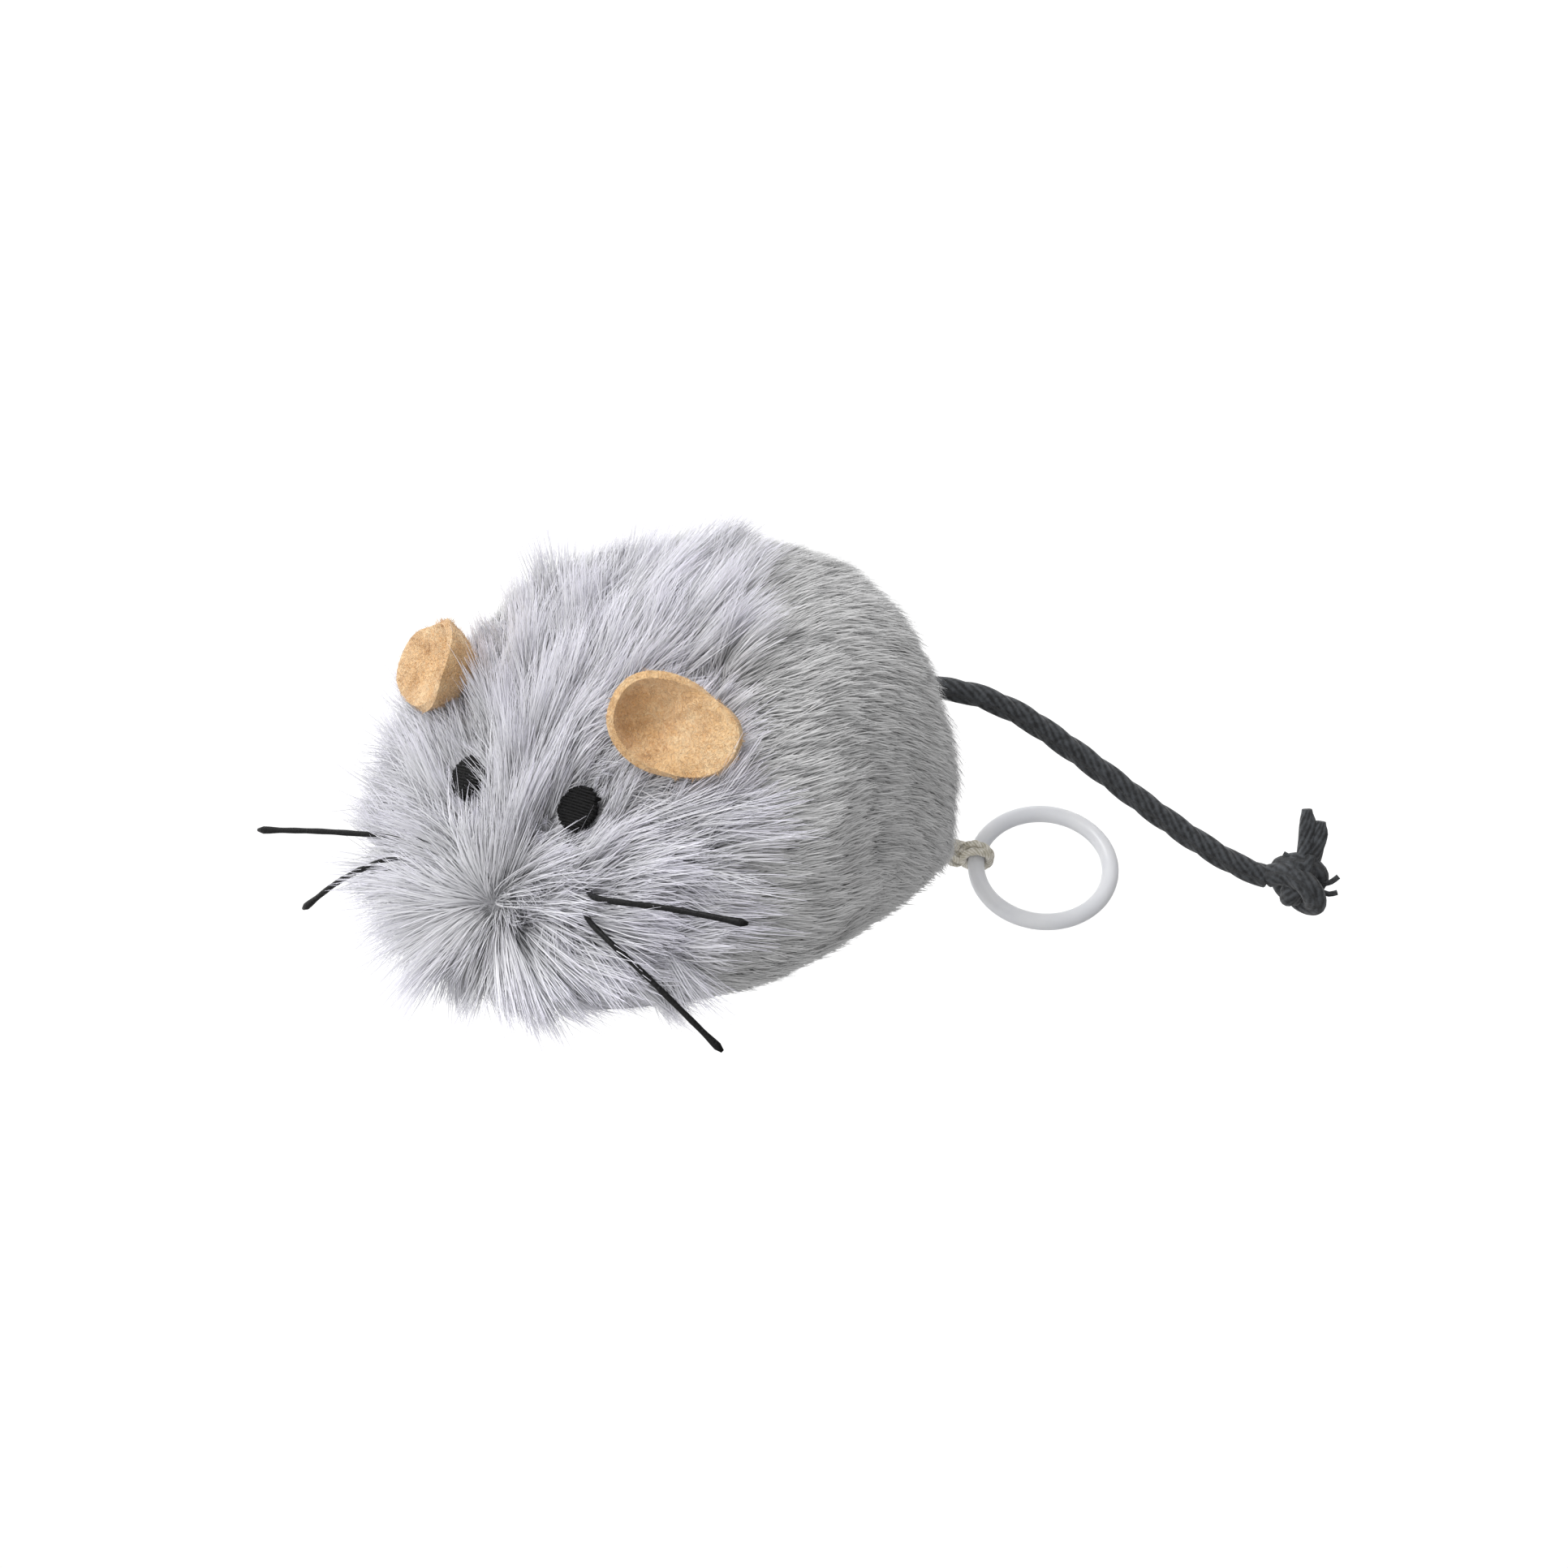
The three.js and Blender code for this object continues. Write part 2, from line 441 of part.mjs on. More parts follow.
// Pull cord through its guide to the ring
const guideStart = CASE.y + CASE.halfLength + GAP;
const guideBack = GUIDE.end - GUIDE.flangeThick;
const guide = turned([
  [GUIDE.bore, guideStart], [GUIDE.radius, guideStart], [GUIDE.radius, guideBack], [GUIDE.flange, guideBack],
  [GUIDE.flange, GUIDE.end], [GUIDE.bore, GUIDE.end],
], 16);
add("cord_guide", placed(guide, [CORD_X, 0, CORD_HEIGHT], [0, 1, 0]), "caseShell");

// Pull ring, leaning away with its lower edge on the floor
const heading = rad(RING.heading);
const across = new THREE.Vector3(Math.cos(heading), Math.sin(heading), 0);
const leaning = new THREE.Vector3(-Math.sin(heading), Math.cos(heading), 0)
  .multiplyScalar(Math.cos(rad(RING.lean))).add(new THREE.Vector3(0, 0, Math.sin(rad(RING.lean))));
const ringNormal = across.clone().cross(leaning);
const outward = across.clone().applyAxisAngle(ringNormal, -rad(RING.roll));
const grip = vec(RING.centre).addScaledVector(outward, -RING.radius);
const ringBody = solid(new THREE.TorusGeometry(RING.radius, RING.tube, 8, 40));
add("pull_ring", placed(ringBody, RING.centre, ringNormal.toArray(), across.toArray()), "ring");

const loopRadius = RING.tube + GAP + 0.4;
const tangent = ringNormal.clone().cross(outward);
const loop = placed(solid(new THREE.TorusGeometry(loopRadius, 0.4, 6, 12)), grip.toArray(), tangent.toArray());
const knotCentre = grip.clone().addScaledVector(outward, -loopRadius - 1);
const bead = solid(new THREE.SphereGeometry(1.3, 8, 6).translate(...knotCentre.toArray()));
add("cord_knot", loop.add(bead), "cord");
const cordEnd = knotCentre.clone().add(new THREE.Vector3(-0.6, -1.9, 0.9));
const cordRoute = [
  [CORD_X, DRUM_AXIS[1] + 3, CORD_HEIGHT], [CORD_X, GUIDE.end - 5, CORD_HEIGHT],
  [CORD_X, GUIDE.end + 0.5, CORD_HEIGHT], cordEnd.toArray(),
];
add("pull_cord", tube(cordRoute, CORD_RADIUS, 14), "cord");

export default mouse;
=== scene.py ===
# A grey plush mouse on a pull cord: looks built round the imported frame. Blender units are metres.
import json
import math
import random

import bpy
import numpy as np
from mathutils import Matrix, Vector


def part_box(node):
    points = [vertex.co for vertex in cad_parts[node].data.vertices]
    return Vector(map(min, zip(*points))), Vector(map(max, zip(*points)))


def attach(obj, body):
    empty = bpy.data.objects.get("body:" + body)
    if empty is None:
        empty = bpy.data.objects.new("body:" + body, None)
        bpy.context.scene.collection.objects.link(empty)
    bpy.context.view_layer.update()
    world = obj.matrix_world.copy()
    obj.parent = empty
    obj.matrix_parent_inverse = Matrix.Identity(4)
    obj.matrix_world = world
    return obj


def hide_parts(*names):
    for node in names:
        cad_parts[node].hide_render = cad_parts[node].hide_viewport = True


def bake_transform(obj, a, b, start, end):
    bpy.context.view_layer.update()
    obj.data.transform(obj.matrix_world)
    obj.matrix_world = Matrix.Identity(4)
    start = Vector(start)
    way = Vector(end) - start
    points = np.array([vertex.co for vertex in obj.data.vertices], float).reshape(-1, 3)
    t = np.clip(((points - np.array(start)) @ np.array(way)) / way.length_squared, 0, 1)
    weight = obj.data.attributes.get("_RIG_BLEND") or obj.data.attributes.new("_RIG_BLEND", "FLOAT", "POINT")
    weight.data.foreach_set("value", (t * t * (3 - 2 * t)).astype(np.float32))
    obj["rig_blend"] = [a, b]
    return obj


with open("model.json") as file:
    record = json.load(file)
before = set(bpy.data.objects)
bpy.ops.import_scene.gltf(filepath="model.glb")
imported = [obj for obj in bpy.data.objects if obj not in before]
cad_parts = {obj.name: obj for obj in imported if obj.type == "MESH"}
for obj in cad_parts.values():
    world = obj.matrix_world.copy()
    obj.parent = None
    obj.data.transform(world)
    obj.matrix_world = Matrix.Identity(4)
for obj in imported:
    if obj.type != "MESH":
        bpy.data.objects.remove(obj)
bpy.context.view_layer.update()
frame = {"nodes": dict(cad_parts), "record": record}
MM = 0.001

# The body's form, as the frame has it
HALF_LENGTH = 40
HALF_WIDTHS = [(-1, 26), (-0.33, 35), (0.33, 27), (1, 19)]
TOPS = [(-1, 16), (-0.6, 40), (-0.15, 50.5), (0.3, 52.5), (0.7, 47), (1, 26)]
NOSE_FULLNESS, RUMP_FULLNESS = 2.8, 3.4
CROWN_FULLNESS, KEEL_FULLNESS = 2.4, 2.3
WAIST_SHARE = 0.41
BELLY_DEPTH, RUMP_LIFT = 2.5, 5

# Places on it, in millimetres
WHORL = np.array((0, -37, 17.5))  # the pile parts round this point on the snout
EYE_S, EYE_TURN, EYE_SINK, EYE_RADIUS = -0.73, 69, 2.5, 2.7
EAR_CENTRE = np.array((22, -24, 39.3))
EAR_FACING = (0.25, -0.9, 0.36)
EAR_ALONG = (1, 0, -0.12)
EAR_RADIUS, EAR_SQUASH, EAR_DEPTH, FELT = 8.1, 0.64, 3.8, 1.0
ROPE_RADIUS = 1.5
TAIL_ROUTE = [
    (0, 30.5, 28.4), (0, 34.5, 28.6), (0.4, 38.5, 28.8), (4.2, 41.6, 29), (8.8, 44.9, 28.3), (13.6, 48.6, 25.8),
    (17.6, 51.8, 22.5), (22.3, 55.4, 18.3), (27.2, 59.2, 13.7), (32.2, 63.2, 9.3), (36.2, 66.3, 6.4),
    (39.4, 68.8, 4.8),
]
TAIL_KNOT = (42.6, 71.3, 3.9)
WHISKERS = {
    "upper": [(39, -28.6, 20.2), (29.8, -32, 20.7), (20, -33.9, 20.2), (13.5, -30.2, 19.4), (0, -28.4, 19.6),
              (-13.5, -30.2, 19.4), (-18.5, -32.4, 19.4), (-28, -35, 18.6), (-38, -37.2, 17.2)],
    "lower": [(37.2, -30.8, 5), (28.6, -33.8, 12.2), (19.8, -34.6, 17.1), (13, -30.4, 17.3), (0, -28.6, 17.4),
              (-13, -30.4, 17.3), (-18, -33, 16.6), (-26, -33.6, 12.6), (-34.4, -33.2, 6.8)],
}
RING_CENTRE = np.array((19, 47.5, 6.4))
RING_RADIUS, RING_TUBE, RING_LEAN, RING_ROLL, RING_HEADING = 8.75, 1.1, 36.8, 12, 45


# ---- small helpers

def add(tree, kind, inputs=None, **settings):
    """Adds a node with its settings and links; inputs are named or numbered sockets among the enabled ones."""
    node = tree.nodes.new(kind)
    for key, value in settings.items():
        setattr(node, key, value)
    sockets = [s for s in node.inputs if s.enabled]
    for key, value in (inputs or {}).items():
        socket = sockets[key] if isinstance(key, int) else next(s for s in sockets if s.name == key)
        if isinstance(value, bpy.types.NodeSocket):
            tree.links.new(value, socket)
        else:
            socket.default_value = value
    return node


def out(node, name=None):
    return next(s for s in node.outputs if s.enabled and (name is None or s.name == name))


def linear(hex_colour):
    """sRGB hex to linear RGBA."""
    channels = [int(hex_colour[i:i + 2], 16) / 255 for i in (1, 3, 5)]
    return tuple(c / 12.92 if c < 0.04045 else ((c + 0.055) / 1.055) ** 2.4 for c in channels) + (1,)


def mesh_object(name, points, faces, smooth=True, attributes=None):
    """A mesh from points in millimetres."""
    mesh = bpy.data.meshes.new(name)
    mesh.from_pydata([tuple(p) for p in np.asarray(points) * MM], [], [tuple(f) for f in faces])
    for key, values in (attributes or {}).items():
        values = np.asarray(values, dtype=np.float32)
        kind, field = ("FLOAT", "value") if values.ndim == 1 else ("FLOAT_VECTOR", "vector")
        mesh.attributes.new(key, kind, "POINT").data.foreach_set(field, values.ravel())
    mesh.shade_smooth() if smooth else None
    mesh.validate()
    obj = bpy.data.objects.new(name, mesh)
    bpy.context.scene.collection.objects.link(obj)
    return obj


def through(stations, s):
    """Smooth curve through (position, value) stations."""
    last = len(stations) - 1
    i = 0
    while i < last - 1 and s > stations[i + 1][0]:
        i += 1

    def slope(j):
        before, after = stations[max(j - 1, 0)], stations[min(j + 1, last)]
        return (after[1] - before[1]) / (after[0] - before[0])

    (x0, y0), (x1, y1) = stations[i], stations[i + 1]
    h = x1 - x0
    t = (s - x0) / h
    ends = y0 * (1 + 2 * t) * (1 - t) ** 2 + y1 * t * t * (3 - 2 * t)
    return ends + slope(i) * h * t * (1 - t) ** 2 - slope(i + 1) * h * t * t * (1 - t)


def body_point(s, turn, inset=0.0):
    """The body's surface: s runs from nose (-1) to rump (1), turn goes round the section."""
    fullness = NOSE_FULLNESS if s < 0 else RUMP_FULLNESS
    close = max(1 - abs(s) ** fullness, 0) ** (1 / fullness)
    half_width = (through(HALF_WIDTHS, s) - inset) * close
    top = through(TOPS, s) - inset
    bottom = -BELLY_DEPTH + RUMP_LIFT * max(s, 0) ** 3 + inset
    middle = bottom + (top - bottom) * WAIST_SHARE
    c, n = math.cos(turn), math.sin(turn)
    power = 2 / (CROWN_FULLNESS if n > 0 else KEEL_FULLNESS)
    rise = (top - middle) * close ** 0.7 if n > 0 else (middle - bottom) * close ** 0.5
    across = half_width * math.copysign(abs(c) ** power, c)
    return np.array((across, (HALF_LENGTH - inset) * s, middle + rise * math.copysign(abs(n) ** power, n)))


def unit(v):
    v = np.asarray(v, dtype=float)
    return v / np.maximum(np.linalg.norm(v, axis=-1, keepdims=True), 1e-9)


def frame_of(facing, hint=(1, 0, 0)):
    z = unit(facing)
    y = unit(np.cross(z, hint))
    return np.array((np.cross(y, z), y, z)).T


def ease(x, low, high):
    t = np.clip((x - low) / (high - low), 0, 1)
    return t * t * (3 - 2 * t)


def smooth_route(points, step):
    """A centripetal Catmull-Rom curve through points, sampled every step millimetres or so."""
    pts = [np.asarray(p, dtype=float) for p in points]
    pts = [2 * pts[0] - pts[1]] + pts + [2 * pts[-1] - pts[-2]]
    route = []
    for a, b, c, d in zip(pts, pts[1:], pts[2:], pts[3:]):
        knots = [0.0]
        for p, q in ((a, b), (b, c), (c, d)):
            knots.append(knots[-1] + max(np.linalg.norm(q - p), 1e-6) ** 0.5)
        t0, t1, t2, t3 = knots
        count = max(int(np.linalg.norm(c - b) / step), 1)
        for t in np.linspace(t1, t2, count, endpoint=False):
            a1 = (t1 - t) / (t1 - t0) * a + (t - t0) / (t1 - t0) * b
            a2 = (t2 - t) / (t2 - t1) * b + (t - t1) / (t2 - t1) * c
            a3 = (t3 - t) / (t3 - t2) * c + (t - t2) / (t3 - t2) * d
            b1 = (t2 - t) / (t2 - t0) * a1 + (t - t0) / (t2 - t0) * a2
            b2 = (t3 - t) / (t3 - t1) * a2 + (t - t1) / (t3 - t1) * a3
            route.append((t2 - t) / (t2 - t1) * b1 + (t - t1) / (t2 - t1) * b2)
    return np.array(route + [pts[-2]])


def sweep(route, radius, sides=12, lobes=0, lobe_depth=0.0, pitch=1.0, closed=False):
    """A tube along a route. radius is a number or one for each point; lobes twist round it once every pitch.
    Returns points, faces and, for each point, how far along and round the cord it lies."""
    route = np.asarray(route, dtype=float)
    count = len(route)
    radii = np.broadcast_to(np.asarray(radius, dtype=float), (count,))
    if closed:
        tangents = unit(np.roll(route, -1, 0) - np.roll(route, 1, 0))
    else:
        tangents = unit(np.gradient(route, axis=0))
    side = unit(np.cross(tangents[0], (0.3, 0.2, 1)))
    travelled = 0.0
    points, where = [], []
    for i in range(count):
        if i:
            travelled += np.linalg.norm(route[i] - route[i - 1])
            side = unit(side - tangents[i] * side.dot(tangents[i]))
        up = np.cross(tangents[i], side)
        for j in range(sides):
            angle = 2 * math.pi * j / sides
            r = radii[i]
            if lobes:
                twist = angle - 2 * math.pi * travelled / pitch
                r *= 1 - lobe_depth + lobe_depth * abs(math.cos(lobes * twist / 2)) ** 0.7
            points.append(route[i] + (side * math.cos(angle) + up * math.sin(angle)) * r)
            where.append((travelled, angle, 0))
    faces = []
    for i in range(count if closed else count - 1):
        k = (i + 1) % count
        for j in range(sides):
            n = (j + 1) % sides
            faces.append((i * sides + j, i * sides + n, k * sides + n, k * sides + j))
    if not closed:
        faces.append(tuple(reversed(range(sides))))
        faces.append(tuple(range((count - 1) * sides, count * sides)))
    return np.array(points), faces, np.array(where)


def joined(parts):
    """Several sweeps as one list of points, faces and places."""
    points, faces, where = [], [], []
    for p, f, w in parts:
        start = sum(len(q) for q in points)
        points.append(p)
        where.append(w)
        faces += [tuple(i + start for i in face) for face in f]
    return np.concatenate(points), faces, np.concatenate(where)


# ---- camera and light

def set_camera():
    """The viewpoint: 45 degrees to the mouse's left of its nose, a little above."""
    azimuth, elevation, distance = math.radians(45), math.radians(15.4), 0.5
    target = Vector((0, 0, 0.025))
    back = Vector((math.sin(azimuth) * math.cos(elevation), -math.cos(azimuth) * math.cos(elevation),
                   math.sin(elevation)))
    data = bpy.data.cameras.new("camera")
    data.sensor_width = 36
    data.lens = 92.2
    data.shift_x = 0.0644
    data.shift_y = -0.0083
    data.clip_start = 0.01
    camera = bpy.data.objects.new("camera", data)
    bpy.context.scene.collection.objects.link(camera)
    camera.location = target + back * distance
    camera.rotation_euler = back.to_track_quat("Z", "Y").to_euler()
    bpy.context.scene.camera = camera


def area_light(name, place, size, watts, warmth=(1, 1, 1)):
    data = bpy.data.lights.new(name, "AREA")
    data.size = size
    data.energy = watts
    data.color = warmth
    light = bpy.data.objects.new(name, data)
    bpy.context.scene.collection.objects.link(light)
    light.location = place
    light.rotation_euler = (Vector(place) - Vector((0, 0, 0.02))).to_track_quat("Z", "Y").to_euler()


def set_studio():
    """A white surround, brighter behind and to the left of the camera's view, dim on the right and straight below."""
    scene = bpy.context.scene
    scene.view_settings.view_transform = "Standard"
    world = bpy.data.worlds.new("studio")
    world.use_nodes = True
    tree = world.node_tree
    towards = out(add(tree, "ShaderNodeTexCoord"), "Generated")
    rightward = add(tree, "ShaderNodeVectorMath", {0: towards, 1: (0.894, 0.447, 0)}, operation="DOT_PRODUCT")
    side = add(tree, "ShaderNodeMapRange", {"Value": out(rightward, "Value"), "From Min": 0.0, "From Max": 0.7,
                                            "To Min": 1.15, "To Max": 0.36})
    height = out(add(tree, "ShaderNodeSeparateXYZ", {0: towards}), "Z")
    below = add(tree, "ShaderNodeMapRange", {"Value": height, "From Min": -0.72, "From Max": -0.38,
                                             "To Min": 0.4, "To Max": 1.0})
    glow = add(tree, "ShaderNodeMath", {0: out(side), 1: out(below)}, operation="MULTIPLY")
    background = tree.nodes["Background"]
    background.inputs["Color"].default_value = (1, 1, 1, 1)
    tree.links.new(out(glow), background.inputs["Strength"])
    scene.world = world
    area_light("key", (-0.1, -0.3, 0.6), 0.25, 1.5)


# ---- materials

def finish(name, roughness=0.6, metallic=0.0, **constants):
    """A material with its shader, whose constants sit on the shader's own sockets."""
    made = bpy.data.materials.new(name)
    made.use_nodes = True
    shader = made.node_tree.nodes["Principled BSDF"]
    shader.inputs["Roughness"].default_value = roughness
    shader.inputs["Metallic"].default_value = metallic
    for key, value in constants.items():
        shader.inputs[key.replace("_", " ")].default_value = value
    return made, made.node_tree, shader


def ramp(tree, factor, stops):
    node = add(tree, "ShaderNodeValToRGB", {0: factor})
    elements = node.color_ramp.elements
    while len(elements) < len(stops):
        elements.new(0.5)
    for element, (position, colour) in zip(elements, stops):
        element.position = position
        element.color = linear(colour)
    return out(node, "Color")


def bump(tree, shader, height, distance, strength=1.0):
    node = add(tree, "ShaderNodeBump", {"Height": height, "Distance": distance, "Strength": strength})
    tree.links.new(out(node), shader.inputs["Normal"])


def attribute(tree, name, output="Fac"):
    return out(add(tree, "ShaderNodeAttribute", attribute_name=name), output)


def plush_pile_and_root_shade():
    """Acrylic faux fur, long pile: pale lilac-grey tips, darker towards the root; that darkening is partly painted
    shade deep in the pile.
    """
    made, tree, shader = finish("plush_pile_and_root_shade", 0.55, Sheen_Weight=0.25, Sheen_Roughness=0.4)
    along, shade = attribute(tree, "along"), attribute(tree, "shade")
    tuft, frosting = attribute(tree, "tuft"), attribute(tree, "frosting")
    # Both ramps darken from tip to root: partly the fibre's own colour, partly painted shade deep in the pile.
    long_pile = ramp(tree, along, [(0, "#b8b8bb"), (0.35, "#cacacd"), (0.75, "#d6d6da"), (1, "#e3e1ed")])
    short_pile = ramp(tree, along, [(0, "#b6b6b7"), (0.5, "#c9c9c9"), (1, "#d8d8d8")])
    both = add(tree, "ShaderNodeMix", {"Factor": frosting, "A": short_pile, "B": long_pile}, data_type="RGBA")
    uneven = add(tree, "ShaderNodeMath", {0: shade, 1: 0.22, 2: 0.89}, operation="MULTIPLY_ADD")
    patchy = add(tree, "ShaderNodeMath", {0: tuft, 1: 0.22, 2: -0.05}, operation="MULTIPLY_ADD")
    value = add(tree, "ShaderNodeMath", {0: out(uneven), 1: out(patchy)}, operation="ADD")
    toned = add(tree, "ShaderNodeHueSaturation", {"Value": out(value), "Color": out(both, "Result")})
    tree.links.new(out(toned), shader.inputs["Base Color"])
    return made


def backing_and_gap_shade():
    """Knitted polyester backing seen between the fibres, mottled mid grey, kept darker as painted shade in the gaps.
    """
    made, tree, shader = finish("backing_and_gap_shade", 0.95)
    place = out(add(tree, "ShaderNodeTexCoord"), "Object")
    grain = add(tree, "ShaderNodeTexNoise", {"Vector": place, "Scale": 700, "Detail": 3})
    # The darker grey is painted shade where the backing shows between the fibres.
    colour = ramp(tree, out(grain, "Fac"), [(0.3, "#86868a"), (0.7, "#a6a6a9")])
    tree.links.new(colour, shader.inputs["Base Color"])
    bump(tree, shader, out(grain, "Fac"), 0.0004)
    return made


def tan_felt():
    """Pressed wool felt, tan: matted fibres half a millimetre long, mottled, with no weave."""
    made, tree, shader = finish("tan_felt", 0.95, Sheen_Weight=0.35, Sheen_Roughness=0.5)
    place = out(add(tree, "ShaderNodeTexCoord"), "Object")
    warp = add(tree, "ShaderNodeTexNoise", {"Vector": place, "Scale": 260, "Detail": 4})
    fibre = add(tree, "ShaderNodeTexNoise", {"Vector": place, "Scale": 1500, "Detail": 5, "Distortion": 2.5})
    mixed = add(tree, "ShaderNodeMath", {0: out(warp, "Fac"), 1: out(fibre, "Fac")}, operation="ADD")
    half = add(tree, "ShaderNodeMath", {0: out(mixed), 1: 0.5}, operation="MULTIPLY")
    colour = ramp(tree, out(half), [(0.34, "#cf9f68"), (0.5, "#efc48e"), (0.66, "#fbdcae")])
    tree.links.new(colour, shader.inputs["Base Color"])
    bump(tree, shader, out(fibre, "Fac"), 0.0005, 0.9)
    return made


def black_thread(name, roughness, gloss):
    """Black polyester thread: a fine twist that catches a soft highlight."""
    made, tree, shader = finish(name, roughness, Coat_Weight=gloss, Specular_IOR_Level=0.2)
    place = out(add(tree, "ShaderNodeTexCoord"), "Object")
    grain = add(tree, "ShaderNodeTexNoise", {"Vector": place, "Scale": 2600, "Detail": 2})
    colour = ramp(tree, out(grain, "Fac"), [(0.3, "#030303"), (0.75, "#111112")])
    tree.links.new(colour, shader.inputs["Base Color"])
    bump(tree, shader, out(grain, "Fac"), 0.0002)
    return made


def twisted_cord(name, dark, pale, pitch, fibres, roughness=0.85):
    """Cotton or polyester cord: fine fibres lie along each strand, and the strands' valleys are darker."""
    made, tree, shader = finish(name, roughness, Sheen_Weight=0.2)
    where = add(tree, "ShaderNodeSeparateXYZ", {0: attribute(tree, "where", "Vector")})
    turn = add(tree, "ShaderNodeMath", {0: out(where, "X"), 1: 2 * math.pi / pitch}, operation="MULTIPLY")
    angle = add(tree, "ShaderNodeMath", {0: out(where, "Y"), 1: out(turn)}, operation="SUBTRACT")
    lines = add(tree, "ShaderNodeMath", {0: out(angle), 1: fibres}, operation="MULTIPLY")
    wave = add(tree, "ShaderNodeMath", {0: out(lines)}, operation="SINE")
    place = out(add(tree, "ShaderNodeTexCoord"), "Object")
    fleck = add(tree, "ShaderNodeTexNoise", {"Vector": place, "Scale": 1400, "Detail": 4})
    streak = add(tree, "ShaderNodeMath", {0: out(wave), 1: 0.14, 2: out(fleck, "Fac")}, operation="MULTIPLY_ADD")
    colour = ramp(tree, out(streak), [(0.3, dark), (0.72, pale)])
    tree.links.new(colour, shader.inputs["Base Color"])
    bump(tree, shader, out(streak), 0.0003, 0.8)
    return made


def milky_plastic():
    """Moulded polyethylene ring, milky and slightly translucent, with faint flow marks."""
    made, tree, shader = finish(
        "milky_plastic", 0.32, IOR=1.5, Subsurface_Weight=0.45, Subsurface_Scale=0.004, Transmission_Weight=0.12)
    place = out(add(tree, "ShaderNodeTexCoord"), "Object")
    flow = add(tree, "ShaderNodeTexNoise", {"Vector": place, "Scale": 120, "Detail": 3, "Distortion": 1})
    colour = ramp(tree, out(flow, "Fac"), [(0.3, "#e9ebf2"), (0.7, "#f7f8fc")])
    tree.links.new(colour, shader.inputs["Base Color"])
    shader.inputs["Subsurface Radius"].default_value = (1, 1, 1)
    bump(tree, shader, out(flow, "Fac"), 0.0003, 0.25)
    return made


def moulded(name, dark, pale, roughness):
    """Injection moulded plastic with a fine eroded grain."""
    made, tree, shader = finish(name, roughness, IOR=1.48)
    place = out(add(tree, "ShaderNodeTexCoord"), "Object")
    grain = add(tree, "ShaderNodeTexNoise", {"Vector": place, "Scale": 2200, "Detail": 2})
    cloud = add(tree, "ShaderNodeTexNoise", {"Vector": place, "Scale": 90, "Detail": 2})
    colour = ramp(tree, out(cloud, "Fac"), [(0.3, dark), (0.7, pale)])
    tree.links.new(colour, shader.inputs["Base Color"])
    bump(tree, shader, out(grain, "Fac"), 0.00008, 0.6)
    return made


def worked_metal(name, dark, pale, roughness, grit):
    """Metal with fine drawn or cast marks: grit is the marks' number in a metre."""
    made, tree, shader = finish(name, roughness, 1.0)
    place = out(add(tree, "ShaderNodeTexCoord"), "Object")
    marks = add(tree, "ShaderNodeTexNoise", {"Vector": place, "Scale": grit, "Detail": 4})
    colour = ramp(tree, out(marks, "Fac"), [(0.3, dark), (0.7, pale)])
    tree.links.new(colour, shader.inputs["Base Color"])
    bump(tree, shader, out(marks, "Fac"), 0.00005, 0.5)
    return made


def wadding_fibre():
    """Loose polyester fibre fill, white and cloudy."""
    made, tree, shader = finish("wadding_fibre", 1.0)
    place = out(add(tree, "ShaderNodeTexCoord"), "Object")
    cloud = add(tree, "ShaderNodeTexNoise", {"Vector": place, "Scale": 500, "Detail": 6, "Distortion": 3})
    colour = ramp(tree, out(cloud, "Fac"), [(0.3, "#d9d8d4"), (0.7, "#fbfaf7")])
    tree.links.new(colour, shader.inputs["Base Color"])
    bump(tree, shader, out(cloud, "Fac"), 0.0008)
    return made


set_camera()
set_studio()

ROPE_PITCH, CORD_PITCH = 15, 2.6
PILE = plush_pile_and_root_shade()
BACKING_AND_GAP_SHADE = backing_and_gap_shade()
FELT_TAN = tan_felt()
EYE_THREAD = black_thread("embroidery_thread", 0.6, 0.0)
WAXED = black_thread("waxed_thread", 0.45, 0.05)
ROPE = twisted_cord("dark_rope", "#1d1e20", "#4a4d51", ROPE_PITCH, 10)
CREAM = twisted_cord("cream_cord", "#c9c2ae", "#fffaf0", CORD_PITCH, 6)
MILKY = milky_plastic()
SLOT_LOOKS = {
    "case_plastic": moulded("case_plastic", "#e4e2dc", "#f2f1ec", 0.5),
    "gear_plastic": moulded("gear_plastic", "#e6e0cc", "#f4f0e2", 0.4),
    "steel": worked_metal("drawn_steel", "#a9abad", "#c9cbcc", 0.28, 1800),
    "spring_steel": worked_metal("blued_spring_steel", "#3c4350", "#5f6675", 0.35, 1500),
    "weight_metal": worked_metal("cast_zinc", "#7d7f82", "#9c9ea1", 0.5, 900),
    "wadding": wadding_fibre(),
    "cord": CREAM,
}


# ---- tail: a cord with its knot and upturned end

def place_cord(name, parts, look, node):
    points, faces, where = joined(parts)
    piece = mesh_object(name, points, faces, attributes={"where": where})
    piece.data.materials.append(look)
    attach(piece, "root")
    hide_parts(node)
    return piece


def rope_sweep(route, taper=0.0, step=0.5, sides=24, share=1.0):
    fine = smooth_route(route, step)
    radii = np.full(len(fine), 1.06 * ROPE_RADIUS * share)
    if taper:
        radii *= 1 - taper * ease(np.linspace(0, 1, len(fine)), 0.75, 1)
    return sweep(fine, radii, sides, lobes=3, lobe_depth=0.2, pitch=ROPE_PITCH), fine


